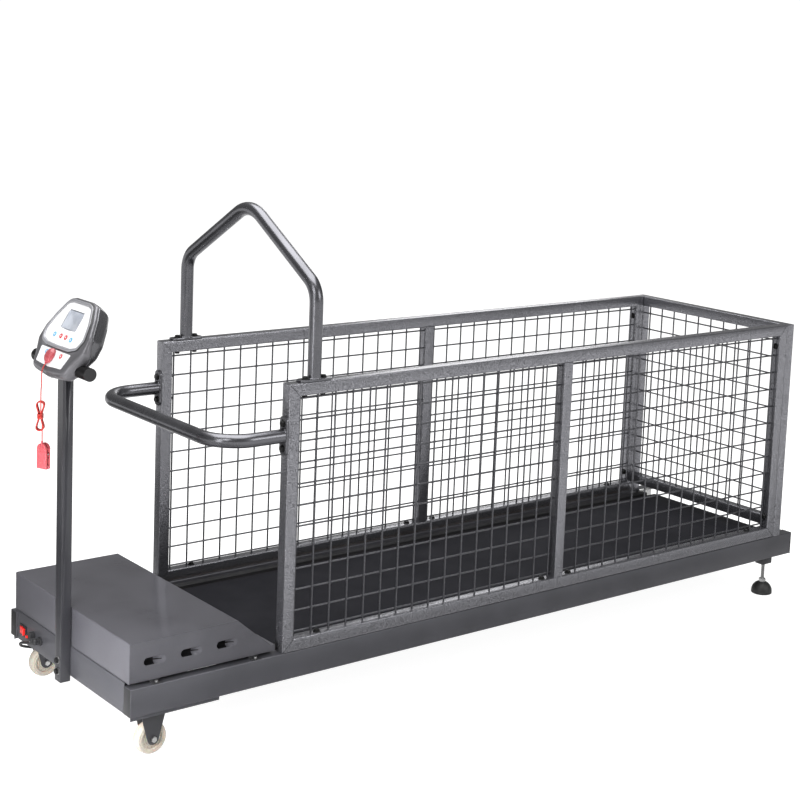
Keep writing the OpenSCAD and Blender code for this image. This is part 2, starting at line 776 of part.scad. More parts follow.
module front_plate() color("dimgray") difference() {
  translate([plate_x, -rail_in, rail_z0]) cube([plate_t, 2 * rail_in, rail_h + hood_gap - slip]);
  for (z = post_bolt_zs) translate([plate_x, 0, z]) to_front() bolt_hole(plate_t);
  translate(switch_at - [cut, switch_w / 2 - switch_t, switch_h / 2 - switch_t])
    cube([plate_t + 2 * cut, switch_w - 2 * switch_t, switch_h - 2 * switch_t]);
  translate(reset_at - [cut, 0, 0]) rotate([0, 90, 0])
    cylinder(d = reset_d + 2 * (switch_wall + slip), h = plate_t + 2 * cut);
  translate(fuse_at - [cut, 0, 0]) rotate([0, 90, 0])
    cylinder(d = fuse_d - 2 * switch_wall, h = plate_t + 2 * cut);
  translate(gland_at - [cut, 0, 0]) rotate([0, 90, 0]) cylinder(d = gland_d, h = plate_t + 2 * cut);
}

module motor_pan() color("dimgray") {
  pan_half = half_w - pan_inset;
  translate([hood_x, -pan_half, caster_h]) cube([pan_l, 2 * pan_half, pan_t]);
  both_sides() translate([hood_x, -pan_half, caster_h - pan_lip]) cube([pan_l, pan_t, pan_lip + pan_t]);
}

// Hood: a folded sheet, open below, with three pressed vents in each side
hood_slope_x = hood_flat_l + hood_slope_l;
hood_l = hood_slope_x + hood_lip_l;
hood_fold = hood_t * tan(atan2(hood_top - hood_lip_z, hood_slope_l) / 2);

module vent_outline() {
  square([vent_l - vent_h, vent_h], center = true);
  for (s = [-1, 1]) translate([s * (vent_l - vent_h) / 2, 0]) circle(d = vent_h);
}

module hood() color("dimgray") translate([hood_x, 0, rail_z1]) {
  side_y = half_w - hood_inset;
  vent_xs = [for (i = [0:2]) vent_x + i * vent_pitch];
  difference() {
    across_base(2 * side_y) polygon([
      [0, hood_gap], [0, hood_top], [hood_flat_l, hood_top], [hood_slope_x, hood_lip_z], [hood_l, hood_lip_z],
      [hood_l, hood_gap]
    ]);
    across_base(2 * hood_in) polygon([
      [hood_t, hood_gap - cut], [hood_t, hood_top - hood_t], [hood_flat_l - hood_fold, hood_top - hood_t],
      [hood_slope_x - hood_fold, hood_lip_z - hood_t], [hood_l - hood_t, hood_lip_z - hood_t],
      [hood_l - hood_t, hood_gap - cut]
    ]);
    both_sides() for (x = vent_xs) translate([x, cut - hood_in, vent_z])
      rotate([90, 0, 0]) linear_extrude(hood_t + 2 * cut) vent_outline();
  }
  both_sides() for (x = vent_xs) translate([x + vent_l / 2, -side_y, vent_z - vent_h / 2])
    rotate([0, 0, -asin(vent_depth / vent_l)]) translate([-vent_l, 0, 0])
      cube([vent_l + weld, hood_t, vent_h]);
}

module hood_brackets() color("black") both_sides() for (x = screw_xs) difference() {
  translate([x - bracket_l / 2, 0, rail_z1]) {
    translate([0, -half_w + foot_inset, 0])
      cube([bracket_l, half_w - foot_inset - hood_in + bracket_t, bracket_t]);
    translate([0, -hood_in, 0]) cube([bracket_l, bracket_t, bracket_h]);
  }
  translate([x, screw_inset - half_w, rail_z1 - cut])
    cylinder(d = screw_d + 2 * hole_fit, h = bracket_t + 2 * cut);
}

// Deck, belt and rollers
module deck_board() color("tan")
  translate([deck_x0, -deck_w / 2, deck_z0]) cube([deck_x1 - deck_x0, deck_w, deck_t]);

module side_strips() color("dimgray") both_sides()
  translate([deck_x0, -strip_y - strip_w, deck_z1]) cube([deck_x1 - deck_x0, strip_w, rail_z1 - deck_z1]);

// The running belt's line round both rollers at one distance from their axes
function belt_line(r) = concat(
  [for (i = [0:bend_steps]) let (a = 90 + 180 * i / bend_steps) [front_roller_x, 0] + r * [cos(a), sin(a)]],
  [for (i = [0:bend_steps]) let (a = 180 * i / bend_steps - 90) [rear_roller_x, 0] + r * [cos(a), sin(a)]]
);

module running_belt() color("black") translate([0, 0, roller_z]) across_base(belt_w) difference() {
  polygon(belt_line(loop_r + belt_t));
  polygon(belt_line(loop_r));
}

module roller_tube(x) {
  translate([x, 0, roller_z]) across_base(2 * roller_half)
    ring(roller_d, (roller_d - bearing_d) / 2 - run_fit);
}

module front_roller() color("silver") {
  roller_tube(front_roller_x);
  translate([front_roller_x, -pulley_y, roller_z]) across_base(pulley_w)
    ring(drive_pulley_d, (drive_pulley_d - shaft_d) / 2 - slip);
}

module rear_roller() color("silver") roller_tube(rear_roller_x);

module roller_shafts() color("silver") for (x = [front_roller_x, rear_roller_x])
  translate([x, 0, roller_z]) across_base(2 * (rail_in - slip)) circle(d = shaft_d);

module roller_bearings() color("gainsboro") for (x = [front_roller_x, rear_roller_x]) both_sides()
  translate([x, bearing_w / 2 - roller_half, roller_z])
    across_base(bearing_w) ring(bearing_d, (bearing_d - shaft_d) / 2 - run_fit);

module roller_adjusters() color("silver") for (x = [front_roller_x, rear_roller_x])
both_sides() difference() {
  translate([x - adjuster_l / 2, -rail_in, roller_z - shaft_d]) {
    cube([adjuster_l, adjuster_t, rail_z1 - roller_z + shaft_d]);
    translate([0, 0, rail_z1 - roller_z + shaft_d - adjuster_top])
      cube([adjuster_l, adjuster_reach, adjuster_top]);
  }
  translate([x, adjuster_t / 2 - rail_in, roller_z])
    across_base(adjuster_t + 2 * cut) circle(d = shaft_d + 2 * run_fit);
}

// Drive
motor_y0 = motor_space - roller_half;

module motor_body() color("black") difference() {
  union() {
    translate([motor_axis_x, motor_y0 + motor_l / 2, motor_axis_z]) across_base(motor_l) circle(d = motor_d);
    translate([motor_axis_x - motor_foot / 2, motor_y0, rail_z0])
      cube([motor_foot, motor_l, motor_axis_z - rail_z0]);
  }
  translate([motor_axis_x, motor_y0 + motor_bore / 2 - cut, motor_axis_z])
    across_base(motor_bore + 2 * cut) circle(d = motor_shaft_d + 2 * run_fit);
}

module motor_rotor() color("silver") translate([motor_axis_x, 0, motor_axis_z]) {
  shaft_l = motor_y0 + motor_bore - cut + pulley_y + pulley_w / 2;
  translate([0, shaft_l / 2 - pulley_y - pulley_w / 2, 0]) across_base(shaft_l) circle(d = motor_shaft_d);
  translate([0, -pulley_y, 0]) across_base(pulley_w) circle(d = motor_pulley_d);
}

// The drive belt's line at an even distance from both pulleys, as points round the two bends
drive_span = [front_roller_x - motor_axis_x, roller_z - motor_axis_z];
drive_aim = atan2(drive_span[1], drive_span[0]);
drive_spread = acos((motor_pulley_d - drive_pulley_d) / 2 / norm(drive_span));
bend_steps = 32;

function drive_line(off) = concat(
  [for (i = [0:bend_steps])
    let (a = drive_aim + drive_spread + (360 - 2 * drive_spread) * i / bend_steps)
    (motor_pulley_d / 2 + off) * [cos(a), sin(a)]],
  [for (i = [0:bend_steps])
    let (a = drive_aim - drive_spread + 2 * drive_spread * i / bend_steps)
    drive_span + (drive_pulley_d / 2 + off) * [cos(a), sin(a)]]
);

module drive_belt() color("black") translate([motor_axis_x, -pulley_y, motor_axis_z])
  across_base(pulley_w) difference() {
    polygon(drive_line(slip + drive_belt_t));
    polygon(drive_line(slip));
  }

module motor_controller() color("darkgreen") translate([rail_x0 + controller_x, controller_y, rail_z0]) {
  cube([controller_l, controller_w, controller_h / 2]);
  fins = floor(controller_w / (4 * fin_t));
  for (i = [0:fins - 1]) translate([0, 4 * i * fin_t, 0]) cube([controller_l, fin_t, controller_h]);
}

// Casters and feet
fork_drop = caster_h - fork_t - wheel_z;
fork_aim = atan2(fork_drop, fork_plate_l / 2);
fork_touch = fork_aim - acos(fork_end_r / norm([fork_drop, fork_plate_l / 2]));

module caster_fork() translate([caster_axle_x, -caster_y, wheel_z]) {
  translate([-fork_plate_l / 2, -fork_out, fork_drop]) cube([fork_plate_l, 2 * fork_out, fork_t]);
  for (s = [-1, 1]) translate([0, s * (fork_in + fork_out) / 2, 0]) across_base(fork_t) difference() {
    union() {
      circle(fork_end_r);
      polygon([
        [-fork_plate_l / 2, fork_drop + fork_t], [fork_plate_l / 2, fork_drop + fork_t],
        [fork_plate_l / 2, fork_drop],
        fork_end_r * [cos(fork_touch), sin(fork_touch)], fork_end_r * [-cos(fork_touch), sin(fork_touch)],
        [-fork_plate_l / 2, fork_drop]
      ]);
    }
    circle(d = axle_d + 2 * run_fit);
  }
}

module foot_block() difference() {
  translate([foot_axis_x - foot_block_l / 2, foot_inset - half_w, rail_z0 - foot_block_h])
    cube([foot_block_l, rail_w - 2 * foot_inset, foot_block_h]);
  translate([foot_axis_x, -rail_mid, rail_z0 - foot_block_h - cut])
    cylinder(d = stem_d + 2 * run_fit, h = foot_block_h + 2 * cut);
}

module floor_brackets() color("black") both_sides() {
  caster_fork();
  foot_block();
}

module caster_axles() color("silver") both_sides() translate([caster_axle_x, -caster_y, wheel_z]) {
  across_base(2 * (fork_out + axle_nut_h)) circle(d = axle_d);
  for (s = [-1, 1]) translate([0, s * (fork_out + axle_nut_h / 2), 0])
    across_base(axle_nut_h - fork_gap) rotate(30) circle(d = bolt_head_d, $fn = 6);
}

module caster_wheel() translate([caster_axle_x, -caster_y, wheel_z]) rotate([90, 0, 0]) rotate_extrude() {
  edge = wheel_w / 8;
  half = wheel_w / 2;
  hub_half = fork_in - slip;
  bore_r = axle_d / 2 + run_fit;
  tread_in = (wheel_d - wheel_w) / 2;
  polygon([
    [bore_r, -hub_half], [hub_d / 2, -hub_half], [hub_d / 2, wheel_dish - half],
    [tread_in, wheel_dish - half],
    [tread_in, -half], [wheel_d / 2 - edge, -half], [wheel_d / 2, edge - half], [wheel_d / 2, half - edge],
    [wheel_d / 2 - edge, half], [tread_in, half], [tread_in, half - wheel_dish],
    [hub_d / 2, half - wheel_dish],
    [hub_d / 2, hub_half], [bore_r, hub_half]
  ]);
}

module near_wheel() color("wheat") caster_wheel();
module far_wheel() color("wheat") mirror([0, 1, 0]) caster_wheel();

module levelling_foot() translate([foot_axis_x, -rail_mid, 0]) {
  crown = pad_h - pad_rim;
  dome_r = (pad_d * pad_d / 4 + crown * crown) / (2 * crown);
  rotate_extrude() intersection() {
    square([pad_d / 2, pad_h]);
    translate([0, pad_h - dome_r]) circle(dome_r);
  }
  translate([0, 0, pad_h - foot_nut_h / 2]) cylinder(d = foot_nut_d, h = 1.5 * foot_nut_h, $fn = 6);
  translate([0, 0, pad_h / 2]) cylinder(d = stem_d, h = rail_z0 + stem_up - pad_h / 2);
}

module near_foot() color("black") levelling_foot();
module far_foot() color("black") mirror([0, 1, 0]) levelling_foot();

// Cage panels: square tube frames, hollow, with a welded wire mesh in each bay
module tube_bar(at, size, inset) {
  translate(at + inset * [1, 1, 1]) cube(size - 2 * inset * [1, 1, 1]);
}

module side_bars(inset) {
  for (z = [rail_z1, panel_z1 - tube_w]) tube_bar([panel_x0, -half_w, z], [panel_l, tube_w, tube_w], inset);
  for (x = [panel_x0, panel_mid - tube_w / 2, panel_x1 - tube_w])
    tube_bar([x, -half_w, rail_z1], [tube_w, tube_w, panel_h], inset);
}

module side_frame() difference() {
  side_bars(0);
  side_bars(tube_wall);
  for (x = floor_bolt_xs) translate([x, -tube_mid, rail_z1 + tube_w]) bolt_hole(tube_w);
  for (x = arch_bolt_xs) translate([x, -tube_mid, panel_z1]) bolt_hole(tube_w);
  for (z = guard_bolt_zs) translate([panel_x0, -tube_mid, z]) to_front() bolt_hole(tube_wall);
  for (z = corner_bolt_zs) translate([panel_x1 - tube_w, -tube_mid, z]) to_front() bolt_hole(tube_w);
}

module near_panel_frame() color("gray") side_frame();
module far_panel_frame() color("gray") mirror([0, 1, 0]) side_frame();

module rear_bars(inset) {
  for (z = [rail_z1 + rear_gap, panel_z1 - tube_w])
    tube_bar([panel_x1, -half_w, z], [tube_w, base_w, tube_w], inset);
  both_sides() tube_bar([panel_x1, -half_w, rail_z1], [tube_w, tube_w, panel_h], inset);
}

module rear_panel_frame() color("gray") difference() {
  rear_bars(0);
  rear_bars(tube_wall);
  both_sides() for (z = corner_bolt_zs) translate([panel_x1, -tube_mid, z]) to_front() bolt_hole(tube_wall);
}

module wire(l) rotate(180 / wire_sides) cylinder(d = wire_d, h = l, $fn = wire_sides);

// Upright wires in the plane y = 0, level wires welded behind them
module mesh_bay(w, h) {
  cols = floor((w - 2 * mesh_edge) / mesh_pitch);
  rows = floor((h - 2 * mesh_edge) / mesh_pitch);
  behind = wire_d * cos(180 / wire_sides) - weld_bite;
  translate([(w - cols * mesh_pitch) / 2, 0, 0]) for (i = [0:cols]) translate([i * mesh_pitch, 0, 0]) wire(h);
  translate([0, behind, (h - rows * mesh_pitch) / 2])
    for (j = [0:rows]) translate([0, 0, j * mesh_pitch]) rotate([0, 90, 0]) wire(w);
}

module side_mesh() for (x = [panel_x0 + tube_w, panel_mid + tube_w / 2])
  translate([x, mesh_depth - half_w, rail_z1 + tube_w]) mesh_bay(bay_l, panel_h - 2 * tube_w);

module near_panel_mesh() color("gray") side_mesh();
module far_panel_mesh() color("gray") mirror([0, 1, 0]) side_mesh();
module rear_panel_mesh() color("gray")
  translate([panel_x1 + tube_w - mesh_depth, tube_w - half_w, rail_z1 + rear_gap + tube_w])
    rotate(90) mesh_bay(base_w - 2 * tube_w, panel_h - rear_gap - 2 * tube_w);

// Arch and guard bar: bent round tube on bolted flanges
module bent_tube(r, angle) rotate_extrude(angle = angle) translate([r, 0]) ring(round_d, round_wall);

module straight_tube(l) rotate([0, 90, 0]) linear_extrude(l) ring(round_d, round_wall);

module tube_flange(bolts) difference() {
  translate([-flange_l / 2, -tube_w / 2, 0]) cube([flange_l, tube_w, flange_t]);
  translate([0, 0, -cut]) cylinder(d = round_d - 2 * round_wall, h = flange_t + 2 * cut);
  for (s = [-1, 1]) translate([s * bolts / 2, 0, flange_t]) bolt_hole(flange_t);
}

arch_slope = atan2(arch_peak - arch_knee, tube_mid);
arch_leg = arch_knee - arch_knee_r * tan(45 - arch_slope / 2);
arch_run = norm([tube_mid, arch_peak - arch_knee])
  - arch_knee_r * tan(45 - arch_slope / 2) - arch_peak_r * tan(arch_slope);

module tow_arch() color("gray") translate([panel_x0 + arch_x, 0, panel_z1]) {
  both_sides() translate([0, tube_mid, 0]) {
    tube_flange(flange_bolts);
    rotate([90, 0, 90]) {
      translate([0, flange_t]) rotate(90) straight_tube(arch_leg - flange_t);
      translate([-arch_knee_r, arch_leg]) {
        bent_tube(arch_knee_r, 90 - arch_slope);
        rotate(90 - arch_slope) translate([arch_knee_r, 0]) rotate(90) straight_tube(arch_run);
      }
    }
  }
  rotate([90, 0, 90]) translate([0, arch_peak - arch_peak_r / cos(arch_slope)])
    rotate(90 - arch_slope) bent_tube(arch_peak_r, 2 * arch_slope);
}

module guard_bar() color("gray") translate([panel_x0, 0, rail_z1 + guard_z]) {
  bend_x = guard_r - guard_reach;
  both_sides() {
    translate([0, tube_mid, 0]) rotate([0, -90, 0]) tube_flange(guard_bolts);
    translate([bend_x, tube_mid, 0]) straight_tube(-bend_x - flange_t);
    translate([bend_x, tube_mid - guard_r, 0]) rotate(90) bent_tube(guard_r, 90);
  }
  translate([-guard_reach, guard_r - tube_mid, 0]) rotate(90) straight_tube(2 * (tube_mid - guard_r));
}

module frame_bolts() color("black") {
  both_sides() {
    for (x = floor_bolt_xs) translate([x, -tube_mid, rail_z1 + tube_w]) hex_bolt(tube_w + rail_wall);
    for (x = arch_bolt_xs) translate([x, -tube_mid, panel_z1 + flange_t]) hex_bolt(tube_w + flange_t);
    for (z = guard_bolt_zs)
      translate([panel_x0 - flange_t, -tube_mid, z]) to_front() hex_bolt(flange_t + tube_wall);
    for (z = corner_bolt_zs)
      translate([panel_x1 - tube_w, -tube_mid, z]) to_front() hex_bolt(tube_w + tube_wall);
  }
  for (z = post_bolt_zs)
    translate([post_x - post_l / 2 - washer_t, 0, z]) to_front() hex_bolt(washer_t + post_l + plate_t);
}

module zinc_fasteners() color("silver") {
  both_sides() {
    for (x = arch_bolt_xs) translate([x, -tube_mid, panel_z1 - tube_w - nut_h]) difference() {
      cylinder(d = bolt_head_d, h = nut_h, $fn = 6);
      translate([0, 0, nut_h]) bolt_hole(nut_h);
    }
    for (x = screw_xs) translate([x, screw_inset - half_w, rail_z1 + bracket_t]) {
      cylinder(d = screw_head_d, h = screw_head_h);
      translate([0, 0, -bracket_t - rail_wall - bolt_end])
        cylinder(d = screw_d, h = bracket_t + rail_wall + bolt_end + weld);
    }
  }
  for (z = post_bolt_zs) translate([post_x - post_l / 2 - washer_t, 0, z]) rotate([0, 90, 0])
    linear_extrude(washer_t) ring(washer_d, (washer_d - bolt_d) / 2 - hole_fit);
}

// Console
module grip_line(d, l) translate([grip_x, 0, rail_z1 + grip_z]) across_base(l) circle(d = d);

module console_post() color("dimgray") difference() {
  post_z = rail_z0 - post_below;
  translate([post_x - post_l / 2, -post_w / 2, post_z])
    box_tube([post_l, post_w, rail_z1 + grip_z - post_z], post_wall, 2);
  grip_line(grip_d + 2 * run_fit, post_w + 2 * cut);
  for (z = post_bolt_zs) translate([plate_x - post_l, 0, z]) to_front() bolt_hole(post_l);
}

module grip_bar() color("black") difference() {
  grip_line(grip_d, grip_l - 2 * cap_t);
  grip_line(grip_d - 2 * round_wall, grip_l);
}

module rim_outline() offset(head_r, $fn = 32) offset(delta = -head_r) polygon(head_outline(rim_shares));
module overlay_outline() offset(rim_w, $fn = 32) offset(delta = -rim_w) polygon(head_outline(overlay_shares));
module key_panel_outline() polygon(head_outline(key_panel_shares));
module lcd_outline(room) square([lcd_w + 2 * room, lcd_h + 2 * room], center = true);
module button_holes() for (s = button_shares) translate(head_uv(s)) circle(d = button_d + 2 * slip);

// The back shell's loft from the front frame to its smaller back, drawn in by a wall
module back_loft(wall, front, back) hull() {
  translate([0, 0, -front]) linear_extrude(slice) offset(delta = -wall) rim_outline();
  translate([0, 0, -back]) linear_extrude(slice) offset(delta = -wall) scale(back_share) rim_outline();
}

module console_back() color("darkslategray") difference() {
  on_face() back_loft(0, bezel_t + slice, head_depth);
  on_face() back_loft(shell_t, bezel_t - cut, head_depth - shell_t);
  grip_line(grip_d + 2 * slip, grip_l);
  translate([grip_x, -head_w / 2, rail_z1]) cube([grip_d, head_w, grip_z - grip_d / 2 + shell_t]);
  translate([post_x - post_l / 2 - slip, -post_w / 2 - slip, rail_z1])
    cube([post_l + 2 * slip, post_w + 2 * slip, grip_z + slip]);
}

boss_places = [for (s = [-1, 1]) for (v = [board_shares[1], board_shares[2]])
  [s * (board_shares[0] * head_w / 2 - boss_d / 2), head_v(v) - sign(v) * boss_d / 2]];

module console_bezel() color("gray") on_face() {
  difference() {
    union() {
      translate([0, 0, -bezel_t]) linear_extrude(bezel_t) rim_outline();
      translate([0, 0, -weld]) linear_extrude(rim_h + weld) offset(rim_w, $fn = 32) overlay_outline();
    }
    translate([0, 0, -bezel_t - cut]) linear_extrude(bezel_t - bezel_plate + cut)
      offset(delta = -shell_t) rim_outline();
    linear_extrude(rim_h + cut) overlay_outline();
    translate([0, 0, -bezel_t]) linear_extrude(bezel_t + cut) lcd_outline(slip);
    translate([0, 0, -bezel_t]) linear_extrude(bezel_t + rim_h + cut) button_holes();
  }
  for (p = boss_places) translate([p[0], p[1], -board_back])
    cylinder(d = boss_d, h = board_back - bezel_plate + weld);
}

module console_overlays() color("white") on_face() linear_extrude(overlay_t) difference() {
  union() {
    offset(delta = -slip) overlay_outline();
    key_panel_outline();
  }
  lcd_outline(slip);
  button_holes();
}

module lcd_panel() color("lightsteelblue") on_face()
  translate([0, 0, -board_back]) linear_extrude(board_back + overlay_t / 2) lcd_outline(0);

module console_board() color("green") on_face() {
  top = head_v(board_shares[1]);
  low = head_v(board_shares[2]);
  half = board_shares[0] * head_w / 2;
  translate([-half, low, -board_back - board_t]) cube([2 * half, top - low, board_t]);
  for (s = button_shares) translate([head_uv(s)[0], head_uv(s)[1], -board_back - board_t / 2])
    cylinder(
      d = button_d / 2,
      h = board_back + board_t / 2 - bezel_plate - button_tail - button_travel - slip
    );
}

module button(i) on_face() translate([head_uv(button_shares[i])[0], head_uv(button_shares[i])[1], 0])
  translate([0, 0, -bezel_plate - button_tail])
    cylinder(d = button_d, h = bezel_plate + button_tail + overlay_t + button_rise);

module button_upper_1() color("royalblue") button(0);
module button_upper_2() color("red") button(1);
module button_upper_3() color("red") button(2);
module button_upper_4() color("royalblue") button(3);
module button_lower_1() color("royalblue") button(4);
module button_lower_2() color("red") button(5);

// Safety key, its lanyard and its clip
module key_dome() rotate_extrude($fn = 32) intersection() {
  square([key_w / 2, key_h]);
  translate([0, key_h - key_w / 2 - key_h / 4]) circle(key_w / 2 + key_h / 4);
}

module safety_key() color("red") on_face() translate([key_uv[0], key_uv[1], key_w0]) {
  hull() for (s = [-1, 1]) translate([0, s * (key_l - key_w) / 2, 0]) key_dome();
  translate([0, -key_l / 2 - key_boss_d / 4, key_boss_d / 2]) rotate([-90, 0, 0])
    cylinder(d = key_boss_d, h = key_l / 2);
}

module lanyard() color("red") {
  swept_tube(smooth(string_route), string_d, 8, [0, 1, 0]);
  swept_tube(string_tail, string_d, 8, [0, 1, 0]);
}

module lanyard_hank() color("red") swept_tube(hank_path, string_d, 6, hank_along);

// The clip hangs from its top boss: x across, y to the back, z up
clip_boss = 2 * string_d;
clip_pivot = [0, clip_t + clip_gap / 2, -clip_boss - clip_pivot_share * clip_l];
clip_lug = clip_w / 5;

module on_clip() translate(clip_top) rotate(clip_turn) translate([0, -clip_t / 2, 0]) children();

module clip_plate() translate([-clip_w / 2, 0, -clip_boss - clip_l]) {
  cube([clip_w, clip_t, clip_l - clip_w / 2]);
  translate([clip_w / 2, clip_t, clip_l - clip_w / 2]) rotate([90, 0, 0]) cylinder(d = clip_w, h = clip_t);
}

module clip_eye(x, d, l) translate([x, clip_pivot[1], clip_pivot[2]]) rotate([0, 90, 0])
  translate([0, 0, -l / 2]) cylinder(d = d, h = l);

module clip_tip(y, depth) translate([-clip_w / 2, y, -clip_boss - clip_l])
  cube([clip_w, depth, clip_tip_share * clip_l]);

module clip_body() color("indianred") on_clip() {
  clip_plate();
  translate([0, clip_t / 2, -clip_boss - clip_t]) cylinder(d = clip_boss, h = clip_boss + clip_t);
  clip_tip(clip_t - weld, (clip_gap - slip) / 2 + weld);
  for (s = [-1, 1]) clip_eye(s * (clip_w - clip_lug) / 2, clip_gap - 2 * slip, clip_lug);
  for (s = [-1, 1])
    translate([s * (clip_w - clip_lug) / 2 - clip_lug / 2, clip_t - weld, clip_pivot[2] - clip_gap / 4])
      cube([clip_lug, clip_gap / 2, clip_gap / 2]);
  clip_eye(0, clip_pin_d, clip_w);
}

module clip_lever() color("indianred") on_clip() difference() {
  union() {
    translate([0, clip_t + clip_gap, 0]) clip_plate();
    clip_tip(clip_t + (clip_gap + slip) / 2, (clip_gap - slip) / 2 + weld);
    clip_eye(0, clip_gap - 2 * slip, clip_w - 2 * (clip_lug + slip));
    translate([-clip_lug, clip_pivot[1], clip_pivot[2] - clip_gap / 4])
      cube([2 * clip_lug, clip_gap / 2 + weld, clip_gap / 2]);
  }
  clip_eye(0, clip_pin_d + 2 * run_fit, clip_w);
}

// Switches on the front plate, and the mains lead
rocker_axis = switch_at - [switch_t / 2 + slip, 0, 0];

module switch_housing() color("black") {
  difference() {
    union() {
      translate(switch_at - [switch_t, switch_w / 2, switch_h / 2]) cube([switch_t, switch_w, switch_h]);
      translate(switch_at - [weld, switch_w / 2 - switch_t - slip, switch_h / 2 - switch_t - slip])
        cube([switch_depth, switch_w - 2 * (switch_t + slip), switch_h - 2 * (switch_t + slip)]);
    }
    translate(rocker_axis - [0, 0, rocker_h / 2 + slip])
      cylinder(d = rocker_w + 2 * slip, h = rocker_h + 2 * slip);
    translate(rocker_axis - [switch_t, rocker_w / 2 + slip, rocker_h / 2 + slip])
      cube([switch_t, rocker_w + 2 * slip, rocker_h + 2 * slip]);
    translate(rocker_axis - [0, 0, rocker_h / 2 + switch_wall])
      cylinder(d = rocker_pin_d + 2 * run_fit, h = rocker_h + 2 * switch_wall);
  }
  translate(reset_at) to_front() difference() {
    union() {
      cylinder(d = collar_d, h = collar_h);
      translate([0, 0, -plate_t - collar_d])
        cylinder(d = reset_d + 2 * switch_wall, h = plate_t + collar_d + weld);
    }
    translate([0, 0, -plate_t - collar_d + switch_wall])
      cylinder(d = reset_d + 2 * run_fit, h = plate_t + 2 * collar_d);
  }
  translate(fuse_at) to_front() {
    cylinder(d = fuse_d, h = fuse_l);
    translate([0, 0, -fuse_l]) cylinder(d = fuse_d - 2 * (switch_wall + hole_fit), h = fuse_l + weld);
  }
}

module rocker_outline() intersection() {
  circle(d = rocker_w);
  polygon([
    [-rocker_w, -rocker_w], [rocker_w, -rocker_w], [rocker_w, rocker_rise + rocker_w * tan(rocker_tilt)],
    [0, rocker_rise], [-rocker_w, rocker_rise + rocker_w * tan(rocker_tilt)]
  ]);
}

module rocker() color("red") translate(rocker_axis) rotate(90 - rocker_tilt) {
  translate([0, 0, -rocker_h / 2]) linear_extrude(rocker_h) rocker_outline();
  translate([0, 0, slip - rocker_h / 2 - switch_wall])
    cylinder(d = rocker_pin_d, h = rocker_h + 2 * (switch_wall - slip));
}

module reset_button() color("red") translate(reset_at) to_front()
  translate([0, 0, -collar_h]) cylinder(d = reset_d, h = 2 * collar_h + reset_out);

module cord_gland() color("black") {
  translate(gland_at) to_front() {
    cylinder(d = gland_nut_d, h = gland_nut_h, $fn = 6);
    translate([0, 0, -plate_t - gland_nut_h])
      cylinder(d = gland_d - 2 * hole_fit, h = plate_t + gland_nut_h + weld);
    cylinder(d = gland_d, h = gland_out);
  }
  translate(elbow_at) {
    sphere(d = gland_d + 2 * boot_t);
    rotate([-90 - gland_dip, 0, 0]) cylinder(d1 = gland_d, d2 = lead_d + 2 * boot_t, h = boot_l);
  }
}

module power_cord() color("black") swept_tube(smooth(lead_route), lead_d, 8, [0, 0, 1]);

module cord_coil() color("black") swept_tube(coil_path, lead_d, 6, [0, 0, 1]);

module plug() color("black") translate(plug_at) {
  half = lead_r + coil_pitch;
  rotate([0, -90, 0]) cylinder(d1 = lead_d + 2 * boot_t, d2 = 2 * half - 2 * boot_t, h = plug_boot);
  translate([-plug_boot - plug_l, -plug_w / 2, -half]) cube([plug_l, plug_w, 2 * half]);
  for (s = [-1, 1]) translate([weld - plug_boot - plug_l, s * plug_w / 3, 0]) rotate([0, -90, 0])
    cylinder(d = pin_d, h = pin_l + weld);
}

base_rails();
cross_members();
end_caps();
front_plate();
motor_pan();
hood();
hood_brackets();
deck_board();
running_belt();
side_strips();
front_roller();
rear_roller();
roller_shafts();
roller_bearings();
roller_adjusters();
motor_body();
motor_rotor();
drive_belt();
motor_controller();
floor_brackets();
caster_axles();
near_wheel();
far_wheel();
near_foot();
far_foot();
near_panel_frame();
far_panel_frame();
rear_panel_frame();
near_panel_mesh();
far_panel_mesh();
rear_panel_mesh();
tow_arch();
guard_bar();
frame_bolts();
zinc_fasteners();
console_post();
grip_bar();
console_back();
console_bezel();
console_overlays();
lcd_panel();
console_board();
button_upper_1();
button_upper_2();
button_upper_3();
button_upper_4();
button_lower_1();
button_lower_2();
safety_key();
lanyard();
lanyard_hank();
clip_body();
clip_lever();
switch_housing();
rocker();
reset_button();
cord_gland();
power_cord();
cord_coil();
plug();
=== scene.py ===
import json
import math

import bmesh
import bpy
import numpy as np
from mathutils import Matrix, Vector


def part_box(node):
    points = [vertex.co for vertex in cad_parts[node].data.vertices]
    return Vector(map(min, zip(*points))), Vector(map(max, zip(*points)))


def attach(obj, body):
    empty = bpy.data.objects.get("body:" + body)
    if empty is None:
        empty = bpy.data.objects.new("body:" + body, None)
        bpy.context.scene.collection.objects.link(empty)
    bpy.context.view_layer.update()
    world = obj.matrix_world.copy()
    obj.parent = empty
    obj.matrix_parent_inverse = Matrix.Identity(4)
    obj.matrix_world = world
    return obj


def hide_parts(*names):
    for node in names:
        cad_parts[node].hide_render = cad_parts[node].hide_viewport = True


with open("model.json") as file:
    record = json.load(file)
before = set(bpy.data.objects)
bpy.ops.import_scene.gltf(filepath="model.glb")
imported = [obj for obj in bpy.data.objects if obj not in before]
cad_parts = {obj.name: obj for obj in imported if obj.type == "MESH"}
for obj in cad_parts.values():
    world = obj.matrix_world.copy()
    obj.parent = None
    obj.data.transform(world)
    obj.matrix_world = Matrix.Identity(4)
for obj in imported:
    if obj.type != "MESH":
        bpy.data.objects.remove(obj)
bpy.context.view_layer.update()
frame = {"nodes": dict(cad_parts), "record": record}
scene = bpy.context.scene
scene.view_settings.view_transform = "Standard"

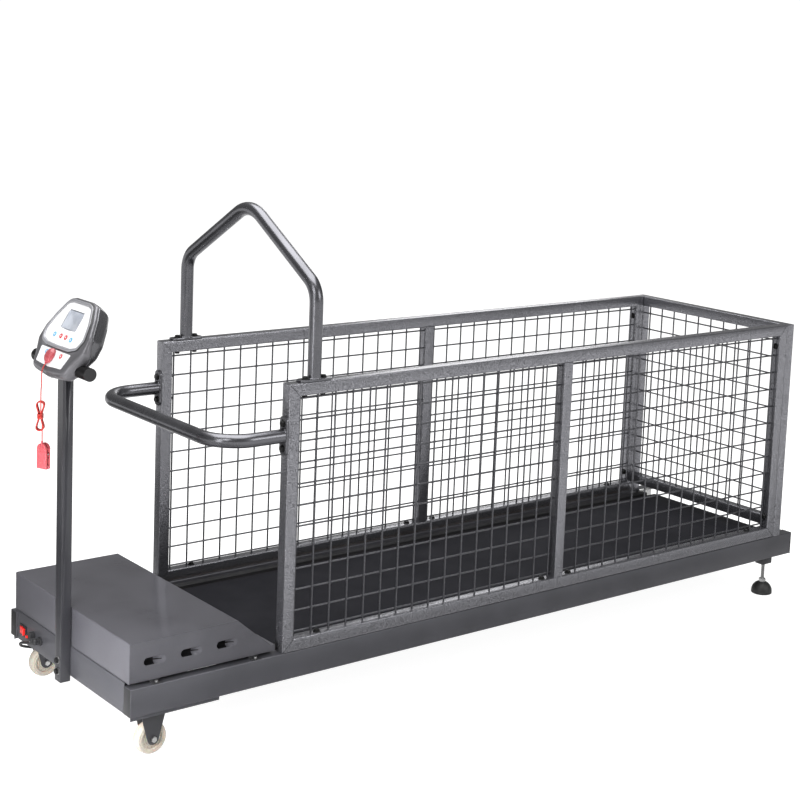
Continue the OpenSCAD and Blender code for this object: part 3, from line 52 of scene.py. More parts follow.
# Camera: it stands ahead of the drive end on the near side, a little above the arch.
# Lens, height and lean come from the straight edges of the base and the cage.
eye = (-2.7187, -3.2779, 1.5790)
azimuth, elevation, lean = (math.radians(a) for a in (-38.121, 7.561, 2.169))
camera = bpy.data.objects.new("camera", bpy.data.cameras.new("camera"))
scene.collection.objects.link(camera)
scene.camera = camera
backward = Vector((math.sin(azimuth) * math.cos(elevation), -math.cos(azimuth) * math.cos(elevation),
                   math.sin(elevation)))
rightward = Vector((math.cos(azimuth), math.sin(azimuth), 0))
upward = backward.cross(rightward)
turned = (rightward * math.cos(lean) + upward * math.sin(lean),
          upward * math.cos(lean) - rightward * math.sin(lean), backward)
camera.matrix_world = Matrix.Translation(eye) @ Matrix(turned).transposed().to_4x4()
camera.data.lens = 73.784
camera.data.sensor_width = 36
camera.data.shift_y = -0.18
camera.data.clip_end = 80


# Floor and light: a pale studio floor that runs out into a white surround, under large soft lamps.
# The camera sees the surround as white, reflections see a dim room; the floor keeps the soft shadow, and in
# reflections its glow carries painted shade near the machine.
def add(tree, kind, inputs=None, **settings):
    """A node of this kind, with its settings, and with values or links on its inputs."""
    node = tree.nodes.new(kind)
    for key, value in settings.items():
        setattr(node, key, value)
    for key, value in (inputs or {}).items():
        if isinstance(value, bpy.types.NodeSocket):
            tree.links.new(value, node.inputs[key])
        else:
            node.inputs[key].default_value = value
    return node


def calc(tree, operation, *values):
    return add(tree, "ShaderNodeMath", dict(enumerate(values)), operation=operation).outputs[0]


def eased(tree, value, near, far, least):
    """A smooth rise from least to 1 while the value goes from near to far."""
    return add(tree, "ShaderNodeMapRange", {"Value": value, "From Min": near, "From Max": far, "To Min": least},
               interpolation_type="SMOOTHSTEP").outputs[0]


room, mirrored_loss, seen_gain = 0.25, -0.05, 0.8
world = bpy.data.worlds.new("surround")
world.use_nodes = True
scene.world = world
sky = world.node_tree
paths = add(sky, "ShaderNodeLightPath").outputs
dim = calc(sky, "MULTIPLY_ADD", paths["Is Glossy Ray"], mirrored_loss, room)
strength = calc(sky, "MULTIPLY_ADD", paths["Is Camera Ray"], seen_gain, dim)
sky.nodes["Background"].inputs["Color"].default_value = (1, 1, 1, 1)
sky.links.new(strength, sky.nodes["Background"].inputs["Strength"])

# Painted shade: in reflections the floor's glow is darker round a spot ahead of the drive end and along a line beside
# the near side, a painted shadow of the machine.
painted_shade_spot, painted_shade_line, white, white_share, floor_half = (-1.9, 1.3, 0), -0.62, (1.62, 1.62, 1.62, 1), 0.58, 30
floor_paint = bpy.data.materials.new("floor_paint")
floor_paint.use_nodes = True
tree = floor_paint.node_tree
matt = tree.nodes["Principled BSDF"]
for socket, value in (("Base Color", (0.8, 0.8, 0.8, 1)), ("Roughness", 0.9), ("Specular IOR Level", 0.0)):
    matt.inputs[socket].default_value = value
paths = add(tree, "ShaderNodeLightPath").outputs
place = add(tree, "ShaderNodeTexCoord").outputs["Object"]
away = add(tree, "ShaderNodeVectorMath", {0: place, 1: painted_shade_spot}, operation="DISTANCE").outputs["Value"]
across = add(tree, "ShaderNodeSeparateXYZ", {0: place}).outputs["Y"]
off_line = calc(tree, "ABSOLUTE", calc(tree, "SUBTRACT", across, painted_shade_line))
# Painted shade for reflections: the glow falls to 0.08 near the spot and to 0.45 on the line.
painted_shade_in_reflection = calc(tree, "MULTIPLY", eased(tree, away, 0.6, 1.65, 0.08), eased(tree, off_line, 0.05, 0.45, 0.45))
tone = add(tree, "ShaderNodeMixRGB", {0: paths["Is Camera Ray"], 1: painted_shade_in_reflection, 2: white}).outputs[0]
glow = add(tree, "ShaderNodeEmission", {"Color": tone}).outputs[0]
share = calc(tree, "MULTIPLY_ADD", paths["Is Camera Ray"], white_share, paths["Is Glossy Ray"])
blend = add(tree, "ShaderNodeMixShader", {0: share, 1: matt.outputs[0], 2: glow}).outputs[0]
tree.links.new(blend, tree.nodes["Material Output"].inputs["Surface"])
floor_mesh = bpy.data.meshes.new("floor")
floor_mesh.from_pydata([(floor_half * x, floor_half * y, 0) for x, y in ((-1, -1), (1, -1), (1, 1), (-1, 1))], [],
                       [(0, 1, 2, 3)])
floor = bpy.data.objects.new("floor", floor_mesh)
floor_mesh.materials.append(floor_paint)
scene.collection.objects.link(floor)

for name, place, aim, wide, tall, power in (
    ("key_lamp", (1.9, -4.8, 2.6), (0.2, 0, 0.4), 2.6, 2.0, 70),
    ("left_lamp", (-3.0, -1.9, 2.6), (-1.05, 0, 0.8), 0.8, 1.2, 18),
    ("strip_lamp", (-3.5, -1.3, 1.3), (-0.9, -0.1, 0.7), 0.4, 2.4, 22),
    ("top_lamp", (-0.4, 0.2, 4.6), (-0.2, 0, 0.4), 5.0, 4.4, 320),
    ("back_lamp", (3.4, 3.6, 2.6), (0.3, 0, 0.4), 1.4, 2.6, 25),
    ("low_lamp", (-1.55, -0.4, 0.3), (-1.06, -0.12, 0.2), 0.3, 0.25, 9),
):
    lamp = bpy.data.objects.new(name, bpy.data.lights.new(name, "AREA"))
    lamp.data.shape = "RECTANGLE"
    lamp.data.size = wide
    lamp.data.size_y = tall
    lamp.data.energy = power
    lamp.location = place
    lamp.rotation_euler = (Vector(aim) - Vector(place)).to_track_quat("-Z", "Y").to_euler()
    lamp.visible_camera = False
    lamp.visible_glossy = name != "low_lamp"
    scene.collection.objects.link(lamp)


# Mains lead: a black rubber-sheathed flex from the elbow on the front plate down under the base,
# where the spare length is put away in a round coil of two layers, held by a tie, with its plug beside it.
def shader_group(name, **inputs):
    """An empty node group for a surface effect, with two colours, its own inputs and three outputs."""
    tree = bpy.data.node_groups.new(name, "ShaderNodeTree")
    for label, kind in {"Dark": "Color", "Light": "Color", **inputs}.items():
        tree.interface.new_socket(label, in_out="INPUT", socket_type="NodeSocket" + kind)
    for label, kind in (("Colour", "Color"), ("Roughness", "Float"), ("Height", "Float")):
        tree.interface.new_socket(label, in_out="OUTPUT", socket_type="NodeSocket" + kind)
    return tree, tree.nodes.new("NodeGroupInput").outputs


def put_out(tree, given, pattern, low, high, gloss, height=None, wear=None):
    """Ends an effect: the pattern between low and high blends the colours and shifts the roughness."""
    level = add(tree, "ShaderNodeMapRange", {"Value": pattern, "From Min": low, "From Max": high}).outputs[0]
    colour = add(tree, "ShaderNodeMixRGB", {0: level, 1: given["Dark"], 2: given["Light"]}).outputs[0]
    rough = calc(tree, "MULTIPLY_ADD", level if wear is None else wear, gloss, given["Rough"])
    end = tree.nodes.new("NodeGroupOutput").inputs
    tree.links.new(colour, end["Colour"])
    tree.links.new(rough, end["Roughness"])
    tree.links.new(level if height is None else height, end["Height"])


def noise(tree, place, scale, detail):
    return add(tree, "ShaderNodeTexNoise", {"Vector": place, "Scale": scale, "Detail": detail}).outputs[0]


grain, given = shader_group("grain", Scale="Float", Rough="Float", Spread="Float")
place = add(grain, "ShaderNodeTexCoord").outputs["Object"]
fine = noise(grain, place, given["Scale"], 5.0)
both = calc(grain, "MULTIPLY", fine, noise(grain, place, 7.0, 3.0))
put_out(grain, given, both, 0.14, 0.36, given["Spread"], fine, both)


def finish(name, group, relief, **values):
    """A material: the group gives what changes over the surface, and constants sit on the shader."""
    material = bpy.data.materials.new(name)
    material.use_nodes = True
    tree = material.node_tree
    shader = tree.nodes["Principled BSDF"]
    effect = add(tree, "ShaderNodeGroup", node_tree=group)
    for key, value in values.items():
        if key in effect.inputs:
            effect.inputs[key].default_value = (*value, 1) if key in ("Dark", "Light") else value
        else:
            shader.inputs[key.replace("_", " ")].default_value = value
    bump = add(tree, "ShaderNodeBump", {"Height": effect.outputs["Height"], "Distance": relief})
    tree.links.new(effect.outputs["Colour"], shader.inputs["Base Color"])
    tree.links.new(effect.outputs["Roughness"], shader.inputs["Roughness"])
    tree.links.new(bump.outputs[0], shader.inputs["Normal"])
    return material


def sweep(bm, points, radius, sides=12, closed=False):
    """A round tube along points, with its own UV map: u along it in metres, v around it."""
    points = [Vector(p) for p in points]
    count = len(points)
    uv = bm.loops.layers.uv.verify()
    rings, along, total, side = [], [], 0.0, None
    for i, p in enumerate(points):
        ahead = points[(i + 1) % count] if closed else points[min(i + 1, count - 1)]
        behind = points[i - 1] if closed else points[max(i - 1, 0)]
        run = (ahead - behind).normalized()
        if side is None:
            side = run.orthogonal().normalized()
        side = (side - run * side.dot(run)).normalized()
        over = run.cross(side)
        r = radius[i] if hasattr(radius, "__len__") else radius
        rings.append([bm.verts.new(p + r * (math.cos(a) * side + math.sin(a) * over))
                      for a in (2 * math.pi * j / sides for j in range(sides))])
        total += (p - points[i - 1]).length if i else 0
        along.append(total)
    for i in range(count if closed else count - 1):
        n = (i + 1) % count
        for j in range(sides):
            k = (j + 1) % sides
            face = bm.faces.new((rings[i][j], rings[i][k], rings[n][k], rings[n][j]))
            ends = (along[i], along[n] if n else total)
            for loop, (u, v) in zip(face.loops, ((0, j), (0, j + 1), (1, j + 1), (1, j))):
                loop[uv].uv = (ends[u], v / sides)
    if not closed:
        bm.faces.new(reversed(rings[0]))
        bm.faces.new(rings[-1])
    return bm


def add_piece(name, made, finishes, body, slot, *replaced, sharp=40):
    """A finished mesh as a piece of the machine: shaded, coloured, riding on its body."""
    mesh = made
    if isinstance(made, bmesh.types.BMesh):
        mesh = bpy.data.meshes.new(name)
        made.to_mesh(mesh)
        made.free()
    mesh.name = name
    for material in finishes if isinstance(finishes, list) else [finishes]:
        mesh.materials.append(material)
    mesh.polygons.foreach_set("use_smooth", [True] * len(mesh.polygons))
    mesh.set_sharp_from_angle(angle=math.radians(sharp))
    piece = bpy.data.objects.new(name, mesh)
    scene.collection.objects.link(piece)
    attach(piece, body)
    if replaced:
        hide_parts(*replaced)
    return piece


def outward(bm, merge=None):
    """The shape with points nearer than merge joined, and its faces turned outwards."""
    if merge:
        bmesh.ops.remove_doubles(bm, verts=bm.verts, dist=merge)
    bmesh.ops.recalc_face_normals(bm, faces=bm.faces)
    return bm


def mm(*values):
    return Vector(v / 1000 for v in values)


def through(points, steps):
    """A smooth curve through points, with straight first and last stretches."""
    points = [Vector(p) for p in points]
    line = []
    for i in range(len(points) - 1):
        p0, p1, p2, p3 = (points[min(max(i + k, 0), len(points) - 1)] for k in (-1, 0, 1, 2))
        for s in range(steps):
            t = s / steps
            line.append(0.5 * (2 * p1 + (p2 - p0) * t + (2 * p0 - 5 * p1 + 4 * p2 - p3) * t * t
                               + (3 * p1 - p0 - 3 * p2 + p3) * t ** 3))
    return line + [points[-1]]


def ease(x):
    x = min(max(x, 0), 1)
    return x * x * (3 - 2 * x)


def angles(count):
    return [2 * math.pi * j / count for j in range(count)]


lead_rubber = finish("lead_rubber", grain, 0.00008, Dark=(0.008, 0.008, 0.009), Light=(0.02, 0.02, 0.021),
                     Scale=900.0, Rough=0.38, Spread=0.4)
lead_d, coil_turns, coil_r, coil_pitch, coil_steps = 0.0065, 3.25, 0.049, 0.0071, 48
boot_l, boot_dip = 0.022, math.radians(20)
boot_way = Vector((0, math.cos(boot_dip), -math.sin(boot_dip)))
elbow_at = mm(-1082.865, 141, 139)
lead_exit = elbow_at + boot_l * boot_way
lead_drops = ((0, 18, -6), (0, 31, -10), (0, 44, -14), (1, 57, -19), (4, 68, -26), (11, 76, -34), (24, 78, -40),
              (42, 72, -44), (61, 62, -48), (82, 50, -54), (103, 37, -62), (124, 24, -72), (145, 11, -84),
              (166, -2, -96), (187, -14, -107), (209, -26, -116), (230, -36, -123), (250, -43, -127))
coil_back, coil_aside, tail_step = 0.306, 0.002, 0.01
coil_at = Vector((lead_exit.x + coil_back, lead_exit.y + coil_aside, lead_d / 2))
coil_start = coil_at - Vector((0, coil_r, 0))


def coil_point(turn):
    a = math.radians(-90 + 360 * turn)
    off = turn - coil_turns
    r = coil_r - coil_pitch * (coil_turns - abs(off))
    return coil_at + Vector((r * math.cos(a), r * math.sin(a), coil_pitch * ease(off * 2 + 0.5)))


lead_line = through([lead_exit, lead_exit + lead_d * boot_way] + [lead_exit + mm(*p) for p in lead_drops]
                    + [coil_start - Vector((k * lead_d, 0, 0)) for k in (4, 2)], 4)
lead_line += [coil_start - Vector((lead_d, 0, 0))]
lead_line += [coil_point(i / coil_steps) for i in range(int(2 * coil_turns * coil_steps) + 1)]
lead_line += [lead_line[-1] - Vector((k * tail_step, 0, 0)) for k in (1, 2, 3)]
plug_at = lead_line[-1]
lead = add_piece("mains_lead", sweep(bmesh.new(), lead_line, lead_d / 2), lead_rubber, "frame", "lead",
                 "power_cord", "cord_coil")

tie_cloth = finish("tie_cloth", grain, 0.0001, Dark=(0.01, 0.01, 0.011), Light=(0.03, 0.03, 0.032),
                   Scale=1500.0, Rough=0.7, Spread=0.3)
tie_half_w, tie_z, tie_sides, tie_out = 0.0045, 0.00495, 24, 0.0375
tie_inside, tie_outside = (0.0152, 0.0071), (0.0162, 0.0081)
tie = bmesh.new()
tie_mid = coil_at + Vector((0, tie_out, 0))
for x in (-tie_half_w, tie_half_w):
    for half_y, half_z in (tie_inside, tie_outside):
        for a in angles(tie_sides):
            bend = (abs(math.cos(a)) ** 4 + abs(math.sin(a)) ** 4) ** -0.25
            at = tie_mid + Vector((x, half_y * bend * math.cos(a), tie_z + half_z * bend * math.sin(a)))
            tie.verts.new((at.x, at.y, max(at.z, 0.0)))
tie.verts.ensure_lookup_table()
for k in range(tie_sides):
    n = (k + 1) % tie_sides
    for a, b in ((0, 1), (1, 3), (3, 2), (2, 0)):
        tie.faces.new([tie.verts[tie_sides * i + j] for i, j in ((a, k), (a, n), (b, n), (b, k))])
coil_tie = add_piece("coil_tie", outward(tie), tie_cloth, "frame", "lead")


def shell(bm, loops, start=False, end=False, material=0):
    """Skins closed loops of equal counts, one after the other, and caps the ends that are asked for."""
    rings = [[bm.verts.new(p) for p in loop] for loop in loops]
    count = len(rings[0])
    faces = []
    for a, b in zip(rings, rings[1:]):
        faces += [bm.faces.new((a[j], a[(j + 1) % count], b[(j + 1) % count], b[j])) for j in range(count)]
    if start:
        faces.append(bm.faces.new(reversed(rings[0])))
    if end:
        faces.append(bm.faces.new(rings[-1]))
    for face in faces:
        face.material_index = material
    return bm


def oblong(half_y, half_z, power, count=32):
    """A loop in y and z between an ellipse at power 2 and a rectangle at high powers."""
    loop = []
    for a in angles(count):
        k = (abs(math.cos(a)) ** power + abs(math.sin(a)) ** power) ** (-1 / power)
        loop.append((half_y * k * math.cos(a), half_z * k * math.sin(a)))
    return loop


black_plastic = finish("black_plastic", grain, 0.00006, Dark=(0.012, 0.012, 0.013), Light=(0.026, 0.026, 0.028),
                       Scale=1100.0, Rough=0.34, Spread=0.35)
nickel = finish("nickel", grain, 0.00002, Dark=(0.55, 0.54, 0.52), Light=(0.7, 0.69, 0.67), Scale=500.0,
                Rough=0.2, Spread=0.3, Metallic=1.0)
plug = bmesh.new()
sections = [(0, 0.0045, 0.0045, 2), (0.003, 0.0045, 0.0045, 2), (0.0035, 0.0056, 0.0056, 2),
            (0.006, 0.0056, 0.0056, 2), (0.0065, 0.0047, 0.0047, 2), (0.009, 0.005, 0.005, 2),
            (0.0095, 0.0064, 0.0064, 2), (0.0125, 0.0064, 0.0064, 2), (0.013, 0.0053, 0.0053, 2),
            (0.016, 0.006, 0.0058, 2.3), (0.02, 0.0088, 0.007, 2.8), (0.025, 0.0118, 0.0086, 3.4),
            (0.031, 0.0132, 0.0099, 4), (0.0395, 0.0138, 0.0103, 4.5), (0.0505, 0.0138, 0.0103, 4.5),
            (0.0545, 0.0134, 0.01, 4.5), (0.056, 0.012, 0.0088, 4.5)]
shell(plug, [[plug_at + Vector((-x, -y, z)) for y, z in oblong(a, b, power)] for x, a, b, power in sections],
      True, True)
prong_x, prong_y = -0.0555, 0.0093
for s in (-1, 1):
    prong_at = plug_at + Vector((prong_x, s * prong_y, 0))
    for base, tip, r, kind in ((0, 0.009, 0.00225, 0), (0.0088, 0.0195, 0.0022, 1)):
        rings = [(base, r), (tip - 0.001, r), (tip - 0.0003, r * 0.85), (tip, r * 0.5)]
        shell(plug, [[prong_at + Vector((-x, -y, z)) for y, z in oblong(q, q, 2, 16)] for x, q in rings],
              True, True, kind)
lead_plug = add_piece("lead_plug", outward(plug), [black_plastic, nickel], "frame", "black_plastic", "plug")

# Safety lanyard: a thin braided red cord from the safety key, folded in a hank with a wrap at its waist,
# and then down to the clip that goes on the handler's clothes. All of it comes away with the key.
braid, given = shader_group("braid", Along="Float", Around="Float", Rough="Float")
flat = add(braid, "ShaderNodeSeparateXYZ", {0: add(braid, "ShaderNodeUVMap").outputs[0]}).outputs
u = calc(braid, "MULTIPLY", flat[0], given["Along"])
v = calc(braid, "MULTIPLY", flat[1], given["Around"])
waves = []
for slant in ("ADD", "SUBTRACT"):
    turn = calc(braid, "MULTIPLY", calc(braid, slant, u, v), 2 * math.pi)
    waves.append(calc(braid, "SINE", turn))
put_out(braid, given, calc(braid, "MAXIMUM", *waves), -0.6, 1.0, -0.15)

red_braid = finish("red_braid", braid, 0.00025, Dark=(0.34, 0.008, 0.006), Light=(0.74, 0.045, 0.03), Along=420.0,
                   Around=4.0, Rough=0.62, Sheen_Weight=0.2)
string_d, hank_h, hank_lobe, hank_waist, hank_step, hank_loops = 0.0025, 0.064, 0.008, 0.0026, 0.0032, 5
hank_turn, tilt, loop_steps, wrap_turns, wrap_steps = math.radians(-38), math.radians(32), 48, 4, 32
string_start = mm(-1128.311, 5.35, 836.325)
string_lead = string_d * Vector((-math.sin(tilt), 0, -math.cos(tilt)))
string_drops = ((-5, 0, -8), (-9, -2, -16), (-11, -4, -25), (-12, -6, -35), (-12, -7, -44), (-14, -9, -52),
                (-16, -12, -59), (-17, -14, -65), (-17, -14, -69))
hank_top = string_start + mm(*string_drops[-1])
hank_run = hank_h / 2 + 6 * string_d
hank_across = Vector((math.cos(hank_turn), math.sin(hank_turn), 0))
hank_along = Vector((-math.sin(hank_turn), math.cos(hank_turn), 0))
hank_bulge = (hank_lobe - hank_waist / math.sqrt(3)) * 3 * math.sqrt(3) / 2


def hank_point(across, along, up):
    return hank_top + (across - hank_waist) * hank_across + along * hank_along + Vector((0, 0, up - hank_run))


def hank_loop(turn):
    a = math.radians(90 + 360 * turn)
    whole = math.floor(turn)
    return hank_point(math.sin(a) * (hank_waist + hank_bulge * math.cos(a) ** 2),
                      hank_step * (whole + ease((turn - whole - 0.25) * 2)), hank_h / 2 * math.cos(a))


string_line = through([string_start, string_start + string_lead] + [string_start + mm(*p) for p in string_drops], 4)
string_line += [hank_point(hank_waist, 0, hank_run - k * hank_run / 8) for k in range(1, 8)]
string_line += [hank_loop(i / loop_steps) for i in range(hank_loops * loop_steps + 1)]
string_line += [hank_point(hank_waist, hank_loops * hank_step, -k * hank_run / 8) for k in range(1, 9)]
clip_top = string_line[-1] - Vector((0, 0, 5 * string_d))
knot_drop = 0.016
knot_at = clip_top - Vector((0, 0, knot_drop))
string_line += [string_line[-1].lerp(knot_at, k / 6) for k in range(1, 7)]
string = add_piece("key_string", sweep(bmesh.new(), string_line, string_d / 2, 10), red_braid, "safety_key",
                   "red_cord", "lanyard", "lanyard_hank")
wrap_half_x, wrap_half_y, wrap_mid, wrap_pitch = 0.0053, 0.0107, 0.008, 0.0027
wrap_line = []
for i in range(wrap_turns * wrap_steps + 1):
    a = 2 * math.pi * i / wrap_steps
    bend = (abs(math.cos(a)) ** 3 + abs(math.sin(a)) ** 3) ** (-1 / 3)
    wrap_line.append(hank_point(wrap_half_x * bend * math.cos(a), wrap_mid + wrap_half_y * bend * math.sin(a),
                                (i / wrap_steps - wrap_turns / 2) * wrap_pitch))
hank_wrap = add_piece("hank_wrap", sweep(bmesh.new(), wrap_line, string_d / 2, 10), red_braid, "safety_key",
                      "red_cord")


# Clip: two moulded salmon red jaws on a bright steel pin, with the string led into a boss at its top.
# The lever turns on the pin, so the jaws open at the bottom when the top ends are pinched.
def merged_copy(node, edge, steps=2, least=None):
    """A CAD node's mesh with its triangles joined, flat faces whole again, and long sharp edges rounded."""
    bm = bmesh.new()
    bm.from_mesh(frame["nodes"][node].data)
    bmesh.ops.remove_doubles(bm, verts=bm.verts, dist=1e-6)
    bmesh.ops.dissolve_limit(bm, angle_limit=math.radians(0.4), verts=bm.verts, edges=bm.edges)
    if edge:
        limit = math.radians(50)
        chosen = [e for e in bm.edges if len(e.link_faces) == 2 and e.calc_face_angle(0) > limit
                  and e.calc_length() > (least or 5 * edge)]
        bmesh.ops.bevel(bm, geom=chosen, offset=edge, offset_type="OFFSET", segments=steps, profile=0.5,
                        affect="EDGES", clamp_overlap=False)
    for layer in list(bm.loops.layers.uv.values()):
        bm.loops.layers.uv.remove(layer)
    mesh = bpy.data.meshes.new(node)
    bm.to_mesh(mesh)
    bm.free()
    return mesh


def slot_of(node):
    return next(s["material_slot"] for s in frame["record"]["subparts"] if s["node"] == node)


def refine(node, material, edge=0.0, least=None, steps=2):
    """The node's own shape with softened edges, standing for the node."""
    bodies = frame["record"]["behaviour"]["bodies"]
    body = next(b for b, members in bodies.items() if node in members)
    return add_piece(node + "_made", merged_copy(node, edge, steps, least), material, body, slot_of(node), node)


clip_plastic = finish("clip_plastic", grain, 0.00008, Dark=(0.43, 0.06, 0.075), Light=(0.55, 0.11, 0.125),
                      Scale=700.0, Rough=0.4, Spread=0.3, Subsurface_Weight=0.08)
bright_steel = finish("bright_steel", grain, 0.00003, Dark=(0.5, 0.5, 0.5), Light=(0.68, 0.68, 0.67), Scale=300.0,
                      Rough=0.22, Spread=0.35, Metallic=1.0)
clip_jaw = refine("clip_body", clip_plastic, 0.0008)
clip_lever = refine("clip_lever", clip_plastic, 0.0008)
clip_turn = Matrix.Rotation(math.radians(-68), 4, "Z")
clip_place = Matrix.Translation(clip_top) @ clip_turn @ Matrix.Translation((0, -0.002, 0))
clip_h, pin_y, knot_z = 0.058, 0.007, -0.0165
pin_z = -0.005 - 0.42 * clip_h
trim = bmesh.new()
for s in (-1, 1):
    rings = [(0.0133, 0.0022), (0.0143, 0.0022), (0.0148, 0.0016), (0.0149, 0.0006)]
    shell(trim, [[clip_place @ Vector((s * x, pin_y + y, pin_z + z)) for y, z in oblong(r, r, 2, 20)]
                 for x, r in rings], True, True)
clip_pin = add_piece("clip_pin", outward(trim), bright_steel, "safety_key", "clip")
rings = [(0.0002, 0.0066), (-0.0006, 0.0064), (-0.0008, 0.0058), (-0.0008, 0.0044), (-0.0003, 0.0042),
         (-0.0003, 0.0008)]
boss = shell(bmesh.new(), [[clip_place @ Vector((x, w, knot_z + z)) for x, z in oblong(r, r, 2, 32)]
                           for w, r in rings], True, True)
clip_boss = add_piece("clip_boss", outward(boss), clip_plastic, "safety_key", "clip")

# Base: two long rails of rectangular steel tube with cross members between them, powder coated dark grey.
# The front plate and the motor pan close the drive's bay; black plastic caps close the rails at the rear, and
# the rails' front ends are black.
base_paint = finish("base_paint", grain, 0.00004, Dark=(0.062, 0.062, 0.07), Light=(0.085, 0.085, 0.096),
                    Scale=1600.0, Rough=0.26, Spread=0.3, Metallic=0.4, Specular_IOR_Level=0.3, Coat_Weight=0.15,
                    Coat_Roughness=0.15)
rails = refine("base_rails", [base_paint, black_plastic], 0.0022, 0.02, 3)
rail_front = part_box("base_rails")[0].x
for face in rails.data.polygons:
    face.material_index = int(face.normal.x < -0.9 and face.center.x < rail_front + 0.004)
for node, material, edge, least in (
    ("cross_members", base_paint, 0.0015, 0.015), ("front_plate", base_paint, 0.0004, 0.03),
    ("motor_pan", base_paint, 0.0006, 0.008), ("end_caps", black_plastic, 0.0008, 0.012),
):
    refine(node, material, edge, least)

# Hood over the drive: a bent steel sheet for front, top and rear slope, with a flat plate let into each side.
# Each side plate has three oblong vents that are pressed in, deepest towards the front, and the deep front half of
# each is painted near-black as painted shade. A narrow lap at the foot of the front covers the joint with the front
# plate.
low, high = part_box("hood")
top_l, lip_l, lip_h, fold_r, sheet_t, sheet_play = 0.275, 0.012, 0.015, 0.003, 0.0015, 0.0007
hood_half, hood_bottom, lip_z = high.y, low.z, low.z + lip_h
fold_points = [(low.x, hood_bottom), (low.x, high.z), (low.x + top_l, high.z), (high.x - lip_l, lip_z),
               (high.x, lip_z), (high.x, hood_bottom)]


def rounded(points, radius, steps=5, closed=True):
    """A line of 2D points with its corners rounded."""
    points = [Vector(p) for p in points]
    out = []
    for i, p in enumerate(points):
        if not closed and i in (0, len(points) - 1):
            out.append(p)
            continue
        a, b = (points[i - 1] - p), (points[(i + 1) % len(points)] - p)
        half = a.angle(b) / 2
        reach = min(radius / math.tan(half), 0.45 * a.length, 0.45 * b.length)
        start, stop = p + a.normalized() * reach, p + b.normalized() * reach
        for k in range(steps + 1):
            t = k / steps
            out.append(start * (1 - t) ** 2 + 2 * p * t * (1 - t) + stop * t * t)
    return out


def inset(line, by, closed=True):
    """The line moved to its right-hand side by a distance."""
    count = len(line)
    out = []
    for i, p in enumerate(line):
        a = line[i - 1] if closed or i else p
        b = line[(i + 1) % count] if closed or i < count - 1 else p
        one = (p - a).normalized() if (p - a).length > 1e-9 else (b - p).normalized()
        two = (b - p).normalized() if (b - p).length > 1e-9 else one
        normal = Vector((one.y + two.y, -one.x - two.x)).normalized()
        out.append(p + normal * by / max(normal.dot(Vector((one.y, -one.x))), 0.3))
    return out


def ribbon(bm, line, half_width, thick):
    """A bent sheet: the line in x and z drawn out across the machine, with a thickness inwards."""
    outline = line + inset(line, thick, closed=False)[::-1]
    return shell(bm, [[Vector((p.x, y, p.y)) for p in outline] for y in (-half_width, half_width)], True, True)


hood = ribbon(bmesh.new(), rounded(fold_points, fold_r, closed=False), hood_half - sheet_play, sheet_t)
lap_x, lap_half, lap_t = low.x - 0.001, 0.2665, 0.0016
ribbon(hood, [Vector((lap_x, hood_bottom + z)) for z in (-0.0052, 0.0006)], lap_half, lap_t)
vent_first, vent_pitch = 0.062, 0.092
vent_xs = [low.x + vent_first + vent_pitch * i for i in range(3)]
vent_z, vent_r, vent_straight, vent_rim = 0.22, 0.0084, 0.018, 1.12
ramp_end, ramp_l, ramp_least, lip_depth = 0.0262, 0.027, 0.06, 0.0004
painted_shade_front, painted_shade_rear, painted_shade_depth = 0.03, 0.0015, 0.0016
plate_t, plate_r, plate_play = 0.0012, 0.0025, 0.0009
side_line = inset(rounded(fold_points, plate_r), plate_play)
vent_steps = ((vent_rim, 0.0), (1.06, 0.0003), (1.0, 0.0012), (0.9, 0.0032), (0.76, 0.0058), (0.58, 0.0078),
              (0.35, 0.0088), (0.12, 0.009))


def vent_loop(x, grow):
    """The oblong of a vent: two half circles with even points along the straights between them."""
    half, loop = vent_r * grow, []
    for s in (1, -1):
        loop += [Vector((x + s * (vent_straight + half * math.cos(a)), vent_z + s * half * math.sin(a)))
                 for a in np.linspace(-math.pi / 2, math.pi / 2, 15)]
        loop += [Vector((x + s * vent_straight * (1 - k / 6), vent_z + s * half)) for k in range(1, 12)]
    return loop


def outlined(bm, borders, place, normal):
    """A flat sheet between an outline and the holes in it."""
    edges = []
    for border in borders:
        ring = [bm.verts.new(place(p)) for p in border]
        edges += [bm.edges.new((ring[j - 1], ring[j])) for j in range(len(ring))]
    bmesh.ops.triangle_fill(bm, use_beauty=True, use_dissolve=False, edges=edges, normal=Vector(normal))


def drawn_rim(bm):
    """The points of a rim that is drawn out from all the open edges of a sheet."""
    rim = [e for e in bm.edges if len(e.link_faces) == 1]
    made = bmesh.ops.extrude_edge_only(bm, edges=rim)["geom"]
    return [v for v in made if isinstance(v, bmesh.types.BMVert)]


def poured(bm, made):
    """Adds a finished shape to another one."""
    spare = bpy.data.meshes.new("spare")
    made.to_mesh(spare)
    made.free()
    bm.from_mesh(spare)
    bpy.data.meshes.remove(spare)


for side in (-1, 1):
    plate = bmesh.new()
    outlined(plate, [side_line] + [vent_loop(x, vent_rim) for x in vent_xs],
             lambda p: (p.x, side * hood_half, p.y), (0, side, 0))
    outward(plate)
    if plate.faces[:][0].normal.y * side < 0:
        bmesh.ops.reverse_faces(plate, faces=plate.faces)
    for v in drawn_rim(plate):
        v.co.y -= side * plate_t
    for x in vent_xs:
        loops = []
        for grow, depth in vent_steps:
            loop = []
            for p in vent_loop(x, grow):
                slope = ease((x + ramp_end - p.x) / ramp_l)
                deep = min(depth, lip_depth) + depth * (ramp_least + (1 - ramp_least) * slope)
                loop.append(Vector((p.x, side * (hood_half - deep), p.y)))
            loops.append(loop)
        shell(plate, loops, end=True)
        for face in plate.faces:
            at = face.calc_center_median()
            # Painted shade: faces in the deep front half of the dish take the near-black paint.
            if x - painted_shade_front < at.x < x + painted_shade_rear and abs(at.y) < hood_half - painted_shade_depth:
                face.material_index = 1
    outward(plate, 2e-6)
    if sum(f.normal.y * side * f.calc_area() for f in plate.faces) < 0:
        bmesh.ops.reverse_faces(plate, faces=plate.faces)
    poured(hood, plate)
